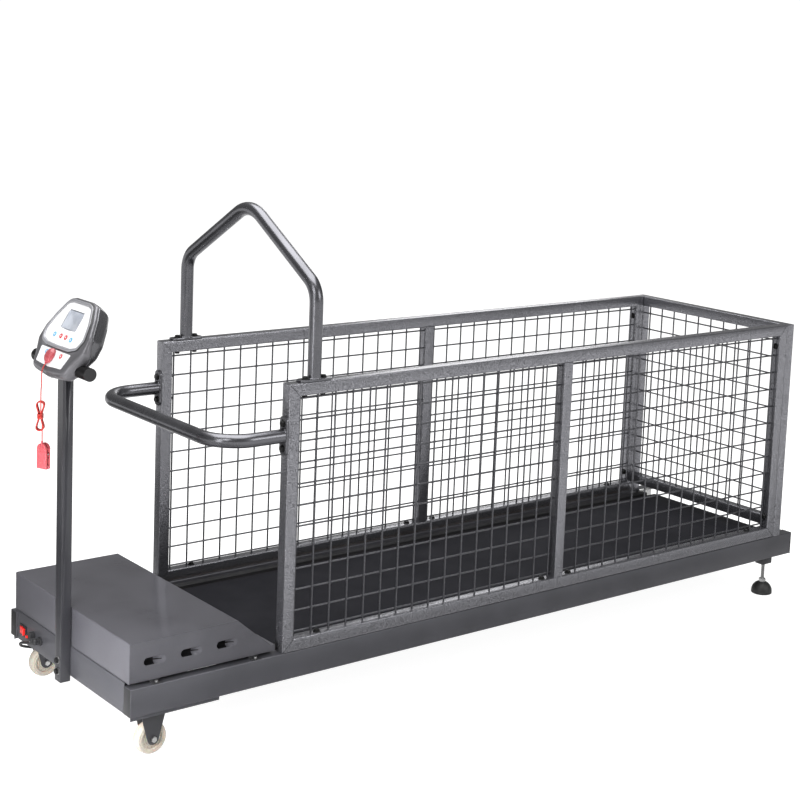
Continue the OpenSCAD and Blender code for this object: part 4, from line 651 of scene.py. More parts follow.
hood_paint = finish("hood_paint", grain, 0.00003, Dark=(0.07, 0.069, 0.079), Light=(0.096, 0.095, 0.108),
                    Scale=1600.0, Rough=0.24, Spread=0.25, Metallic=0.25, Specular_IOR_Level=0.35,
                    Coat_Weight=0.3, Coat_Roughness=0.08)
# Near-black paint that stands for the shade in the vents' openings.
vent_painted_shade = finish("vent_painted_shade", grain, 0.0001, Dark=(0.003, 0.003, 0.003), Light=(0.009, 0.009, 0.01), Scale=600.0,
                   Rough=0.8, Spread=0.2, Specular_IOR_Level=0.05)
add_piece("hood_sheet", hood, [hood_paint, vent_painted_shade], "frame", "base_paint", "hood", sharp=32)
refine("hood_brackets", black_plastic, 0.0004, 0.006)

# Running surface: a black belt with a fine pebbled face runs over a sealed board between two rollers.
# Ribbed side strips lie along both edges of the board, level with the rails.
pebble, given = shader_group("pebble", Pitch="Float", Rough="Float")
place = add(pebble, "ShaderNodeTexCoord").outputs["Object"]
turned = add(pebble, "ShaderNodeVectorRotate", {"Vector": place, "Angle": math.radians(33)}, rotation_type="Z_AXIS")
flat = add(pebble, "ShaderNodeSeparateXYZ", {0: turned.outputs[0]}).outputs
turns = calc(pebble, "DIVIDE", 2 * math.pi, given["Pitch"])
waves = [calc(pebble, "SINE", calc(pebble, "MULTIPLY", flat[axis], turns)) for axis in (0, 1)]
dots = calc(pebble, "MULTIPLY", *waves)
mixed = calc(pebble, "MULTIPLY_ADD", dots, 0.35, noise(pebble, place, 9.0, 3.0))
put_out(pebble, given, mixed, -0.1, 1.1, -0.1, dots)
belt_rubber = finish("belt_rubber", pebble, 0.0002, Dark=(0.006, 0.006, 0.008), Light=(0.019, 0.019, 0.023),
                     Pitch=0.006, Rough=0.8, Specular_IOR_Level=0.08)
low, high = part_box("running_belt")
belt_r, belt_mid, belt_t, edge = (high.z - low.z) / 2, (high.z + low.z) / 2, 0.002, 0.0006
loops = []
for r in (belt_r, belt_r - belt_t):
    half_turn = np.linspace(0, math.pi, 33)
    loops.append([(low.x + belt_r - r * math.sin(a), belt_mid - r * math.cos(a)) for a in half_turn]
                 + [(high.x - belt_r + r * math.sin(a), belt_mid + r * math.cos(a)) for a in half_turn])
rows = [(loops[1], low.y + edge), (loops[1], high.y - edge), (loops[0], high.y - edge * 0.3),
        (loops[0], low.y + edge * 0.3)]
skins = [[Vector((x, y, z)) for x, z in line] for line, y in rows]
belt = outward(shell(bmesh.new(), skins + [skins[0]]), 1e-7)
add_piece("belt_loop", belt, belt_rubber, "frame", "belt", "running_belt", sharp=50)

strip_plastic = finish("strip_plastic", grain, 0.0001, Dark=(0.008, 0.008, 0.009), Light=(0.018, 0.018, 0.02),
                       Scale=900.0, Rough=0.4, Spread=0.4)
low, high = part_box("side_strips")
strip_w, groove, groove_first, groove_pitch = 0.02, 0.0022, 0.0028, 0.0044
inner_y, top_z = high.y - strip_w, high.z
ribs = [(high.y, low.z), (high.y, top_z - 0.001), (high.y - 0.001, top_z)]
for k in range(4):
    y = high.y - groove_first - groove_pitch * k
    ribs += [(y, top_z), (y - 0.0006, top_z - groove), (y - 0.002, top_z - groove), (y - 0.0026, top_z)]
ribs += [(inner_y + 0.0012, top_z), (inner_y, top_z - 0.0016), (inner_y, low.z)]
strip = bmesh.new()
for side in (-1, 1):
    shell(strip, [[Vector((x, side * y, z)) for y, z in ribs] for x in (low.x, high.x)], True, True)
add_piece("deck_strips", outward(strip), strip_plastic, "frame", "strip", "side_strips", sharp=25)

board_face = finish("board_face", grain, 0.0001, Dark=(0.14, 0.09, 0.05), Light=(0.24, 0.16, 0.09), Scale=240.0,
                    Rough=0.5, Spread=0.4)
refine("deck_board", board_face, 0.001)

# Rollers: straight steel tubes, grooved near both ends, on fixed shafts with a bearing in each end; the front one
# carries the drive pulley. Zinc plated brackets inside the rails hold the shafts.
streak, given = shader_group("streak", Stretch="Vector", Rough="Float")
place = add(streak, "ShaderNodeTexCoord").outputs["Object"]
drawn = add(streak, "ShaderNodeVectorMath", {0: place, 1: given["Stretch"]}, operation="MULTIPLY").outputs[0]
fine = noise(streak, drawn, 1.0, 6.0)
put_out(streak, given, fine, 0.3, 0.7, 0.18, fine)

zinc = finish("zinc", streak, 0.00004, Dark=(0.36, 0.36, 0.37), Light=(0.58, 0.58, 0.57),
              Stretch=(160.0, 160.0, 160.0), Rough=0.24, Metallic=1.0)
turned_steel = finish("turned_steel", streak, 0.00003, Dark=(0.34, 0.34, 0.35), Light=(0.55, 0.55, 0.56),
                      Stretch=(40.0, 1800.0, 40.0), Rough=0.2, Metallic=1.0)


def lathe(bm, profile, origin, axis, count=48, material=0, capped=True):
    """A turned shape: profile of (radius, height) pairs about an axis, x, y or z, through origin."""
    ways = {"x": ((0, 1, 0), (0, 0, 1), (1, 0, 0)), "y": ((0, 0, 1), (1, 0, 0), (0, 1, 0)),
            "z": ((1, 0, 0), (0, 1, 0), (0, 0, 1))}
    a, b, c = (Vector(w) for w in ways[axis])
    loops = [[Vector(origin) + r * (math.cos(t) * a + math.sin(t) * b) + h * c for t in angles(count)]
             for r, h in profile]
    return shell(bm, loops, capped, capped, material)


half, r, bore, seat = 0.23, 0.022, 0.0176, 0.012
outer = [(bore, -half), (r - 0.0012, -half), (r, -half + 0.0012), (r, -half + 0.004), (r - 0.0006, -half + 0.0046),
         (r - 0.0006, -half + 0.0056), (r, -half + 0.0062)]
tube_profile = outer + [(q, -h) for q, h in reversed(outer)]
tube_profile += [(bore, half - seat), (bore, -half + seat), (bore, -half)]
big, hole, root, crest = 0.03, 0.0078, 0.0016, 0.0002
pulley_y, rib_first, rib_pitch, pulley_end = -0.248, -0.2455, 0.0023, -0.2302
ribs = [(hole, pulley_y), (big, pulley_y), (big, -0.2462)]
for k in range(6):
    y = rib_first + rib_pitch * k
    ribs += [(big - root, y), (big - root, y + 0.0004), (big - crest, y + 0.0011), (big - crest, y + 0.0014)]
ribs += [(big, -0.2312), (big, pulley_end), (hole, pulley_end), (hole, pulley_y)]
for node, name, profiles in (("front_roller", "drive_roller", (tube_profile, ribs)),
                             ("rear_roller", "tail_roller", (tube_profile,))):
    low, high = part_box(node)
    roller = bmesh.new()
    for profile in profiles:
        lathe(roller, profile, ((low.x + high.x) / 2, 0, (low.z + high.z) / 2), "y", 56, capped=False)
    add_piece(name, outward(roller, 1e-7), turned_steel, node, "zinc", node, sharp=30)
refine("roller_shafts", turned_steel)
refine("roller_bearings", bright_steel)
refine("roller_adjusters", zinc, 0.0006, 0.012)

# Drive under the hood: an enamelled motor on the pan, a ribbed pulley on its shaft, a ribbed belt to the front
# roller and a controller with cooling fins. None of it shows unless the hood is off.
enamel = finish("enamel", grain, 0.0001, Dark=(0.012, 0.012, 0.013), Light=(0.024, 0.024, 0.026), Scale=500.0,
                Rough=0.25, Spread=0.4)
refine("motor_body", enamel, 0.001, 0.03)
refine("motor_rotor", turned_steel)
refine("drive_belt", belt_rubber)
fin_paint = finish("fin_paint", streak, 0.00003, Dark=(0.3, 0.3, 0.31), Light=(0.46, 0.46, 0.47),
                   Stretch=(1200.0, 30.0, 1200.0), Rough=0.3, Metallic=1.0)
refine("motor_controller", fin_paint, 0.0006, 0.01)

# Casters: pressed steel brackets under the pan, each with a cream polyurethane wheel on a plated axle bolt.
# The wheel's web is stepped in rings with a circle of small raised dots, and its tread is slightly crowned.
bracket_paint = finish("bracket_paint", grain, 0.00008, Dark=(0.02, 0.02, 0.023), Light=(0.036, 0.036, 0.04),
                       Scale=1200.0, Rough=0.34, Spread=0.4)
refine("floor_brackets", bracket_paint, 0.0007, 0.008)
wheel_cast = finish("wheel_cast", grain, 0.00006, Dark=(0.33, 0.29, 0.235), Light=(0.49, 0.45, 0.385), Scale=260.0,
                    Rough=0.22, Spread=0.3, Subsurface_Weight=0.25, Subsurface_Scale=0.004, Coat_Weight=0.4)
wheel_mark = finish("wheel_mark", grain, 0.00008, Dark=(0.2, 0.15, 0.09), Light=(0.34, 0.27, 0.18), Scale=500.0,
                    Rough=0.35, Spread=0.3)
tread_half, drawn_r, dot_ring, dot_count = 0.0125, 0.0375, 0.0211, 12
web = [(0.0118, 0.003), (0.0165, 0.0034), (0.0169, 0.0022), (0.0182, 0.0018), (0.0186, 0.0034), (0.0236, 0.0034),
       (0.0241, 0.0008), (0.0252, 0.0001), (0.0282, 0.0), (0.0288, 0.0009), (0.0302, 0.0009), (0.0308, 0.0002),
       (0.0338, 0.0006), (0.0354, 0.0022), (0.0366, 0.0052), (0.0373, 0.009)]
for node in ("near_wheel", "far_wheel"):
    low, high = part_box(node)
    mid = (low + high) / 2
    r, hub = (high.z - low.z) / 2, (high.y - low.y) / 2
    face = [(0.00406, hub), (0.0105, hub), (0.0112, hub - 0.0006)] + [(q, tread_half - h) for q, h in web]
    face = [(q * r / drawn_r if q > 0.03 else q, h) for q, h in face] + [(r, 0.0)]
    profile = face + [(q, -h) for q, h in reversed(face[:-1])] + [face[0]]
    wheel = outward(lathe(bmesh.new(), profile, mid, "y", 72, capped=False), 1e-7)
    for side in (-1, 1):
        for a in angles(dot_count):
            dot = mid + Vector((dot_ring * math.cos(a), side * (tread_half - 0.00345), dot_ring * math.sin(a)))
            lathe(wheel, [(0.0013, side * 0.0001), (0.0011, side * 0.0005), (0.0005, side * 0.0007)], dot, "y", 10, 1)
    add_piece(node + "_cast", outward(wheel), [wheel_cast, wheel_mark], node, "wheel", node, sharp=34)
refine("caster_axles", bright_steel, 0.0004, 0.003)

# Levelling feet: a domed black rubber pad on a zinc plated screw with a hexagon nut, under the rear of each rail.
# The screw runs up through a welded block into the rail.
foot_rubber = finish("foot_rubber", grain, 0.00012, Dark=(0.012, 0.012, 0.012), Light=(0.028, 0.028, 0.028),
                     Scale=700.0, Rough=0.42, Spread=0.4)
pad_r, dome_h, pad_top, dome_steps = 0.03, 0.028, 0.036, 13
dome_r = (pad_r ** 2 + dome_h ** 2) / (2 * dome_h)
pad = [(0.0285, 0.0), (0.0297, 0.0008), (0.03, 0.002), (0.03, 0.0048), (0.0293, 0.0055), (0.0293, 0.0066),
       (0.0299, 0.0074)]
for k in range(1, dome_steps):
    q = pad_r * math.cos(k * math.pi / 2 / dome_steps)
    pad.append((q, pad_top - dome_r + math.sqrt(dome_r ** 2 - q * q)))
pad += [(0.0075, 0.0356)]
nut = [(0.0085, 0.0325), (0.01, 0.0335), (0.01, 0.0428), (0.0086, 0.044)]
screw_r, root_r, thread_pitch, thread_z = 0.0049, 0.0042, 0.0015, 0.045
for node in ("near_foot", "far_foot"):
    low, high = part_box(node)
    mid = ((low.x + high.x) / 2, (low.y + high.y) / 2, 0)
    thread = [(screw_r, 0.0435)]
    for k in range(int((high.z - 0.0465) / thread_pitch)):
        z = thread_z + thread_pitch * k
        thread += [(root_r, z), (root_r, z + 0.0002), (screw_r, z + 0.0008), (screw_r, z + 0.001)]
    thread += [(0.0047, high.z - 0.001), (0.0038, high.z)]
    foot = bmesh.new()
    for profile, count, kind in ((pad, 56, 0), (nut, 6, 1), (thread, 20, 1)):
        lathe(foot, profile, mid, "z", count, kind)
    add_piece(node + "_pad", outward(foot), [foot_rubber, zinc], node, "foot_rubber", node, sharp=38)

# Cage frames: mitred square steel tube, welded and ground at the corners, with a middle post in each side panel.
# The coat is a hammered grey: dark with a dense pale fleck that stands slightly proud.
hammer, given = shader_group("hammer", Scale="Float", Rough="Float")
place = add(hammer, "ShaderNodeTexCoord").outputs["Object"]
cells = add(hammer, "ShaderNodeTexVoronoi", {"Vector": place, "Scale": given["Scale"], "Smoothness": 0.6},
            feature="SMOOTH_F1").outputs["Distance"]
fleck = calc(hammer, "SUBTRACT", noise(hammer, place, given["Scale"], 4.0), cells)
put_out(hammer, given, fleck, -0.12, 0.32, -0.14)

cage_paint = finish("cage_paint", hammer, 0.00006, Dark=(0.11, 0.11, 0.12), Light=(0.52, 0.52, 0.56), Scale=720.0,
                    Rough=0.31, Metallic=0.9)
tube, corner_r, seam = 0.03, 0.0028, 0.0009


def bar(bm, start, stop, across, lean_start=0, lean_stop=0):
    """A square tube between two points on its axis; a lean of 1 or -1 mitres that end along across."""
    start, stop, across = Vector(start), Vector(stop), Vector(across)
    run = (stop - start).normalized()
    other = run.cross(across)
    flat = tube / 2 - corner_r
    ring = []
    for turn, (sx, sy) in enumerate(((1, 1), (-1, 1), (-1, -1), (1, -1))):
        for k in range(5):
            a = math.pi / 2 * (turn + k / 4)
            ring.append((sx * flat + corner_r * math.cos(a), sy * flat + corner_r * math.sin(a)))
    shell(bm, [[at + p * across + q * other + run * (slant * p + (gap if slant else 0)) for p, q in ring]
               for at, slant, gap in ((start, lean_start, seam), (stop, lean_stop, -seam))], True, True)


low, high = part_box("near_panel_frame")
x0, x1, z0, z1, half_y, h = low.x, high.x, low.z, high.z, -low.y, tube / 2
mid_y, mid_x = half_y - h, (x0 + x1) / 2
left, right, bottom, top = x0 + h, x1 - h, z0 + h, z1 - h
rear_lift = 0.025
rear_x, rear_z = x1 + h, z0 + rear_lift + h
along_x, along_y, along_z = (1, 0, 0), (0, 1, 0), (0, 0, 1)
frames = {"rear_panel_frame": [
    ((rear_x, -mid_y, top), (rear_x, mid_y, top), along_z, -1, 1),
    ((rear_x, -mid_y, z0), (rear_x, -mid_y, top), along_y, 0, -1),
    ((rear_x, mid_y, z0), (rear_x, mid_y, top), along_y, 0, 1),
    ((rear_x, h - mid_y, rear_z), (rear_x, mid_y - h, rear_z), along_z)]}
for node, y in (("near_panel_frame", -mid_y), ("far_panel_frame", mid_y)):
    frames[node] = [((left, y, bottom), (right, y, bottom), along_z, 1, -1),
                    ((left, y, top), (right, y, top), along_z, -1, 1),
                    ((left, y, bottom), (left, y, top), along_x, 1, -1),
                    ((right, y, bottom), (right, y, top), along_x, -1, 1),
                    ((mid_x, y, z0 + tube), (mid_x, y, z1 - tube), along_x)]
for node in ("near_panel_frame", "far_panel_frame", "rear_panel_frame"):
    cage = bmesh.new()
    for row in frames[node]:
        bar(cage, *row)
    add_piece(node + "_tube", outward(cage), cage_paint, "frame", "cage_paint", node, sharp=30)


# Wire mesh: hard drawn round wire, upright wires outside and level wires behind them, welded where they cross
# and to the frame at their ends, then coated with the frame. A node tree lays the wires and the weld nuggets.
def maker_tree(name, inputs):
    """A geometry node tree with these named inputs, and the sockets that give them."""
    tree = bpy.data.node_groups.new(name, "GeometryNodeTree")
    tree.interface.new_socket("Mesh", in_out="OUTPUT", socket_type="NodeSocketGeometry")
    for label, kind in inputs.items():
        tree.interface.new_socket(label, in_out="INPUT", socket_type="NodeSocket" + kind)
    return tree, tree.nodes.new("NodeGroupInput").outputs


def joined(tree, parts):
    node = add(tree, "GeometryNodeJoinGeometry")
    for part in parts:
        tree.links.new(part, node.inputs[0])
    return node.outputs[0]


def set_on(tree, points, instance, rotation=(0, 0, 0)):
    return add(tree, "GeometryNodeInstanceOnPoints", {"Points": points, "Instance": instance,
                                                      "Rotation": rotation}).outputs[0]


def realized(tree, geometry):
    return add(tree, "GeometryNodeRealizeInstances", {0: geometry}).outputs[0]


def put_mesh(tree, geometry, material):
    """Ends a tree: what it laid becomes a mesh of its own, with its material."""
    coated = add(tree, "GeometryNodeSetMaterial", {0: realized(tree, geometry), "Material": material})
    tree.links.new(coated.outputs[0], tree.nodes.new("NodeGroupOutput").inputs[0])


def spread(tree, whole, count, pitch):
    """Where the first of count wires at this pitch stands, so that they lie evenly in the whole."""
    taken = calc(tree, "MULTIPLY", calc(tree, "SUBTRACT", count, 1.0), pitch)
    return calc(tree, "MULTIPLY_ADD", calc(tree, "SUBTRACT", whole, taken), 0.5, 0.0)


def vector(tree, x=0.0, y=0.0, z=0.0):
    return add(tree, "ShaderNodeCombineXYZ", {0: x, 1: y, 2: z}).outputs[0]


def row_of(tree, count, offset, start=(0, 0, 0)):
    return add(tree, "GeometryNodeMeshLine", {"Count": count, "Start Location": start, "Offset": offset}).outputs[0]


wire_tree, given = maker_tree("wire_mesh", {
    "Width": "Float", "Height": "Float", "Columns": "Int", "Rows": "Int", "Pitch": "Float", "Wire radius": "Float",
    "Behind": "Float", "Finish": "Material"})
tree = wire_tree
first_x = spread(tree, given["Width"], given["Columns"], given["Pitch"])
first_z = spread(tree, given["Height"], given["Rows"], given["Pitch"])
half_height = calc(tree, "MULTIPLY", given["Height"], 0.5)
half_width = calc(tree, "MULTIPLY", given["Width"], 0.5)
half_behind = calc(tree, "MULTIPLY", given["Behind"], 0.5)
sideways, upwards = vector(tree, given["Pitch"]), vector(tree, 0.0, 0.0, given["Pitch"])
parts = []
for length, count, start, step, turn in (
    (given["Height"], given["Columns"], vector(tree, first_x, 0.0, half_height), sideways, (0, 0, 0)),
    (given["Width"], given["Rows"], vector(tree, half_width, given["Behind"], first_z), upwards, (0, math.pi / 2, 0)),
):
    stick = add(tree, "GeometryNodeMeshCylinder", {"Vertices": 10, "Radius": given["Wire radius"], "Depth": length})
    parts.append(set_on(tree, row_of(tree, count, step, start), stick.outputs[0], turn))
columns = row_of(tree, given["Columns"], sideways, vector(tree, first_x, half_behind, first_z))
crossings = realized(tree, set_on(tree, columns, row_of(tree, given["Rows"], upwards)))
nugget_r = calc(tree, "MULTIPLY", given["Wire radius"], 1.12)
nugget = add(tree, "GeometryNodeMeshUVSphere", {"Segments": 8, "Rings": 4, "Radius": nugget_r})
parts.append(set_on(tree, crossings, nugget.outputs[0]))
put_mesh(tree, joined(tree, parts), given["Finish"])


def grown(tree, values, points=()):
    """The plain mesh that a node tree makes from named values, and from points with aims if it takes them."""
    seed = bpy.data.meshes.new("seed")
    seed.from_pydata([p for p, _ in points], [], [])
    if points:
        aims = seed.attributes.new("aim", "FLOAT_VECTOR", "POINT")
        aims.data.foreach_set("vector", [c for _, aim in points for c in aim])
    maker = bpy.data.objects.new("maker", seed)
    scene.collection.objects.link(maker)
    modifier = maker.modifiers.new("nodes", "NODES")
    modifier.node_group = tree
    for item in tree.interface.items_tree:
        if item.in_out == "INPUT" and item.name in values:
            modifier[item.identifier] = values[item.name]
    mesh = bpy.data.meshes.new_from_object(maker.evaluated_get(bpy.context.evaluated_depsgraph_get()))
    maker.modifiers.remove(modifier)
    bpy.data.objects.remove(maker)
    return mesh


wire_paint = finish("wire_paint", hammer, 0.00005, Dark=(0.065, 0.065, 0.072), Light=(0.2, 0.2, 0.216), Scale=700.0,
                    Rough=0.36, Metallic=0.8)
pitch, wire_r, behind, depth, wire_margin = 0.05, 0.00225, 0.00358, 0.017, 0.016
bay_l, bay_h = (x1 - x0 - 3 * tube) / 2, z1 - z0 - 2 * tube


def wire_bay(width, height, place):
    cols, rows = (int((side - wire_margin) / pitch + 1e-6) + 1 for side in (width, height))
    mesh = grown(wire_tree, {"Width": width, "Height": height, "Columns": cols, "Rows": rows, "Pitch": pitch,
                             "Wire radius": wire_r, "Behind": behind, "Finish": wire_paint})
    mesh.transform(place)
    return mesh


def joined_meshes(meshes):
    bm = bmesh.new()
    for mesh in meshes:
        bm.from_mesh(mesh)
    return outward(bm)


bays = [Matrix.Translation((x, depth - half_y, z0 + tube)) for x in (x0 + tube, mid_x + h)]
rear_bay = Matrix.Translation((x1 + tube - depth, tube - half_y, rear_z + h)) @ Matrix.Rotation(math.pi / 2, 4, "Z")
for node, made in (
    ("near_panel_mesh", [wire_bay(bay_l, bay_h, place) for place in bays]),
    ("far_panel_mesh", [wire_bay(bay_l, bay_h, Matrix.Diagonal((1, -1, 1, 1)) @ place) for place in bays]),
    ("rear_panel_mesh", [wire_bay(2 * (half_y - tube), z1 - tube - rear_z - h, rear_bay)]),
):
    add_piece(node + "_wire", joined_meshes(made), wire_paint, "frame", "cage_paint", node, sharp=50)

# Tow arch and guard bar: bent round tube welded to flat foot plates, in a smooth satin coat of the cage's grey.
# The arch stands on the side panels' top bars; the guard bar is bolted to their front posts.
tube_paint = finish("tube_paint", grain, 0.000004, Dark=(0.12, 0.12, 0.13), Light=(0.18, 0.18, 0.195), Scale=1500.0,
                    Rough=0.22, Spread=0.2, Metallic=0.9)
round_r, flange_l, flange_t, flange_corner, sunk = 0.016, 0.09, 0.005, 0.013, 0.003
bead_r, bead_rise, bead_ripple, ripples = 0.0019, 0.0004, 0.0006, 11
arch_in, knee, peak, knee_r, peak_r = 0.076, 0.212, 0.378, 0.06, 0.1
arch_x = x0 + arch_in
slope = math.atan2(peak - knee, mid_y)


def arc(centre, radius, start, stop, axes, steps):
    return [Vector(centre) + radius * (math.cos(a) * Vector(axes[0]) + math.sin(a) * Vector(axes[1]))
            for a in np.linspace(start, stop, steps)]


def welded_foot(bm, at, long_way, out):
    """A flat steel foot with rounded corners and edges on a tube's face, and the weld bead round the bar on it."""
    at, long_way, wide_way, out = (Vector(w) for w in (at, long_way, along_y, out))
    outline = rounded([(flange_l / 2, h), (-flange_l / 2, h), (-flange_l / 2, -h), (flange_l / 2, -h)],
                      flange_corner, 6)
    loops = []
    for back, up in ((0.0006, 0.0), (0.0, 0.0006), (0.0, flange_t - 0.001), (0.001, flange_t)):
        loops.append([at + (p.x * long_way + p.y * wide_way) * (1 - back / h) + up * out for p in outline])
    shell(bm, loops, True, True)
    bead = []
    for a in angles(72):
        ripple = round_r + bead_ripple * math.sin(ripples * a)
        bead.append(at + (flange_t + bead_rise) * out + ripple * (math.cos(a) * long_way + math.sin(a) * wide_way))
    sweep(bm, bead, bead_r, 8, closed=True)


def mirrored_line(half_line):
    return half_line + [Vector((p.x, -p.y, p.z)) for p in reversed(half_line)]


axes = (along_y, along_z)
turn_length = knee_r * math.tan(math.pi / 4 - slope / 2)
half_arch = [Vector((arch_x, mid_y, z1 + sunk))]
half_arch += arc((arch_x, mid_y - knee_r, z1 + knee - turn_length), knee_r, 0, math.pi / 2 - slope, axes, 14)
crown = arc((arch_x, 0, z1 + peak - peak_r / math.cos(slope)), peak_r, math.pi / 2 - slope, math.pi / 2 + slope,
            axes, 20)
arch_line = mirrored_line(half_arch)
arch_line[len(half_arch):len(half_arch)] = crown
guard_up, guard_r, guard_reach = 0.51, 0.085, 0.168
guard_z = z0 + guard_up
half_guard = [Vector((x0 - sunk, mid_y, guard_z))]
half_guard += arc((x0 - guard_reach + guard_r, mid_y - guard_r, guard_z), guard_r, math.pi / 2, math.pi,
                  (along_x, along_y), 18)
for node, line, foot_at, long_way, out in (
    ("tow_arch", arch_line, (arch_x, mid_y, z1), along_x, along_z),
    ("guard_bar", mirrored_line(half_guard), (x0, mid_y, guard_z), along_z, (-1, 0, 0)),
):
    bent = sweep(bmesh.new(), line, round_r, 28)
    for s in (-1, 1):
        welded_foot(bent, (foot_at[0], s * foot_at[1], foot_at[2]), long_way, out)
    add_piece(node + "_tube", outward(bent), tube_paint, "frame", "cage_paint", node, sharp=34)

# Fasteners: black oxide flange bolts hold the cage to the base, the arch, the guard bar and the post, and their
# inner ends are black too. Washers and the hood's pan-head screws are zinc. A node tree sets a head on every place.
bolt_tree, given = maker_tree("bolt_heads", {
    "Places": "Geometry", "Sides": "Int", "Head radius": "Float", "Head height": "Float", "Skirt radius": "Float",
    "Skirt height": "Float", "Shank radius": "Float", "Shank length": "Float", "Finish": "Material"})
tree = bolt_tree


def turned_part(sides, r_low, r_high, height, base):
    """A short cone or prism that stands on base."""
    cone = add(bolt_tree, "GeometryNodeMeshCone", {"Vertices": sides, "Radius Bottom": r_low, "Radius Top": r_high,
                                                   "Depth": height})
    return add(bolt_tree, "GeometryNodeTransform", {
        0: cone.outputs[0], "Translation": vector(bolt_tree, 0.0, 0.0, base)}).outputs[0]


tall = calc(tree, "MULTIPLY", given["Head height"], 0.78)
short = calc(tree, "MULTIPLY", given["Head height"], 0.22)
slim = calc(tree, "MULTIPLY", given["Head radius"], 0.84)
skirt_top = calc(tree, "MULTIPLY", given["Skirt radius"], 0.92)
below = calc(tree, "MULTIPLY", given["Shank length"], -1.0)
head = joined(tree, (turned_part(given["Sides"], given["Head radius"], given["Head radius"], tall, 0.0),
                     turned_part(given["Sides"], given["Head radius"], slim, short, tall),
                     turned_part(28, given["Skirt radius"], skirt_top, given["Skirt height"], 0.0),
                     turned_part(16, given["Shank radius"], given["Shank radius"], given["Shank length"], below)))
aim = add(tree, "GeometryNodeInputNamedAttribute", {"Name": "aim"}, data_type="FLOAT_VECTOR").outputs[0]
facing = add(tree, "FunctionNodeAlignRotationToVector", {"Vector": aim}, axis="Z").outputs[0]
put_mesh(tree, set_on(tree, given["Places"], head, facing), given["Finish"])


def heads(places, material, sides, radius, height, skirt, skirt_h, shank, shank_l):
    return grown(bolt_tree, {"Sides": sides, "Head radius": radius, "Head height": height, "Skirt radius": skirt,
                             "Skirt height": skirt_h, "Shank radius": shank, "Shank length": shank_l,
                             "Finish": material}, places)


black_steel = finish("black_steel", grain, 0.00006, Dark=(0.008, 0.008, 0.008), Light=(0.02, 0.02, 0.021),
                     Scale=800.0, Rough=0.28, Spread=0.4, Metallic=0.6)
up, down, front, back = (0, 0, 1), (0, 0, -1), (-1, 0, 0), (1, 0, 0)
arch_off, guard_off, floor_off, post_off, rear_off, post_step = 0.025, 0.029, 0.105, 0.032, 0.062, 0.026
floor_xs = (x0 + floor_off, mid_x - h - post_off, mid_x + h + post_off, x1 - floor_off)
bolt_places, arch_ends, guard_ends = [], [], []
for y in (-mid_y, mid_y):
    bolt_places += [((x, y, z0 + tube), up) for x in floor_xs]
    bolt_places += [((arch_x + s * arch_off, y, z1 + flange_t), up) for s in (-1, 1)]
    bolt_places += [((x0 - flange_t, y, guard_z + s * guard_off), front) for s in (-1, 1)]
    bolt_places += [((x1 - tube, y, z), front) for z in (z0 + rear_off, z1 - rear_off)]
    arch_ends += [((arch_x + s * arch_off, y, z1 - tube), down) for s in (-1, 1)]
    guard_ends += [((x0 + tube, y, guard_z + s * guard_off), back) for s in (-1, 1)]
post_face, washer_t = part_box("console_post")[0].x, 0.002
post_zs = [z0 - post_step * k for k in (1, 2)]
bolts = [heads(bolt_places, black_steel, 6, 0.0076, 0.0062, 0.0092, 0.0016, 0.004, 0.012),
         heads([((post_face - washer_t, 0, z), front) for z in post_zs], black_steel, 6, 0.007, 0.005, 0.0074,
               0.0012, 0.004, 0.036)]
add_piece("frame_bolt_heads", joined_meshes(bolts), black_steel, "frame", "black_steel", "frame_bolts", sharp=30)
bolt_ends = heads(arch_ends + guard_ends, black_steel, 6, 0.007, 0.006, 0.0072, 0.0008, 0.0035, 0.001)
add_piece("bolt_ends", bolt_ends, black_steel, "frame", "black_steel", sharp=30)
bracket_xs, screw_in, screw_up = (-1.002865, -0.747865), 0.01, 0.002
screw_places = [((x, s * (half_y - screw_in), z0 + screw_up), up) for x in bracket_xs for s in (-1, 1)]
plated = [heads(screw_places, zinc, 20, 0.004, 0.003, 0.0041, 0.0006, 0.002, 0.009),
          heads([((post_face, 0, z), front) for z in post_zs], zinc, 28, 0.0088, 0.0019, 0.009, 0.0012, 0.004, 0.001)]
add_piece("plated_fasteners", joined_meshes(plated), zinc, "frame", "zinc", "zinc_fasteners", sharp=30)

# Console post: a rectangular tube bolted upright on the front plate, coped at its top round a short grip bar.
# The grip bar is a black tube with plastic end caps, and it carries the console's shell.
post_paint = finish("post_paint", grain, 0.00003, Dark=(0.026, 0.026, 0.03), Light=(0.042, 0.042, 0.048),
                    Scale=1600.0, Rough=0.24, Spread=0.25, Metallic=0.4, Coat_Weight=0.3, Coat_Roughness=0.1)
refine("console_post", post_paint, 0.0016, 0.02, 3)
refine("grip_bar", black_steel)

# Console: a satin grey moulded front frame with a raised rim round the display, and a glossy dark back shell.
# White overlays, left bare, lie round the keys; the display is a pale panel in a window.
face_x, face_z = -1.065365, 0.928
on_face = Matrix(((0, math.sin(tilt), -math.cos(tilt), face_x), (-1, 0, 0, 0),
                  (0, math.cos(tilt), math.sin(tilt), face_z), (0, 0, 0, 1)))
half_head, head_up, head_dn, face_mid = 0.107, 0.054, 0.126, Vector((0.0, -0.022))


def head_outline(shares):
    right = [(x * half_head, y * (head_up if y > 0 else head_dn)) for x, y in shares]
    return right + [(-x, y) for x, y in reversed(right) if x > 0]


def spokes(outline, count=160):
    """Points where even spokes from the face's middle meet a closed outline, so that outlines pair up."""
    around = [Vector(p) - face_mid for p in outline]
    loop = []
    for a in angles(count):
        ray = Vector((math.cos(a), math.sin(a)))
        best = 0
        for p, q in zip(around, around[1:] + around[:1]):
            d = q - p
            cross = ray.x * d.y - ray.y * d.x
            if abs(cross) > 1e-12:
                t = (p.x * d.y - p.y * d.x) / cross
                s = (p.x * ray.y - p.y * ray.x) / cross
                if -1e-9 <= s <= 1 + 1e-9 and t > best:
                    best = t
        loop.append(face_mid + ray * best)
    return loop


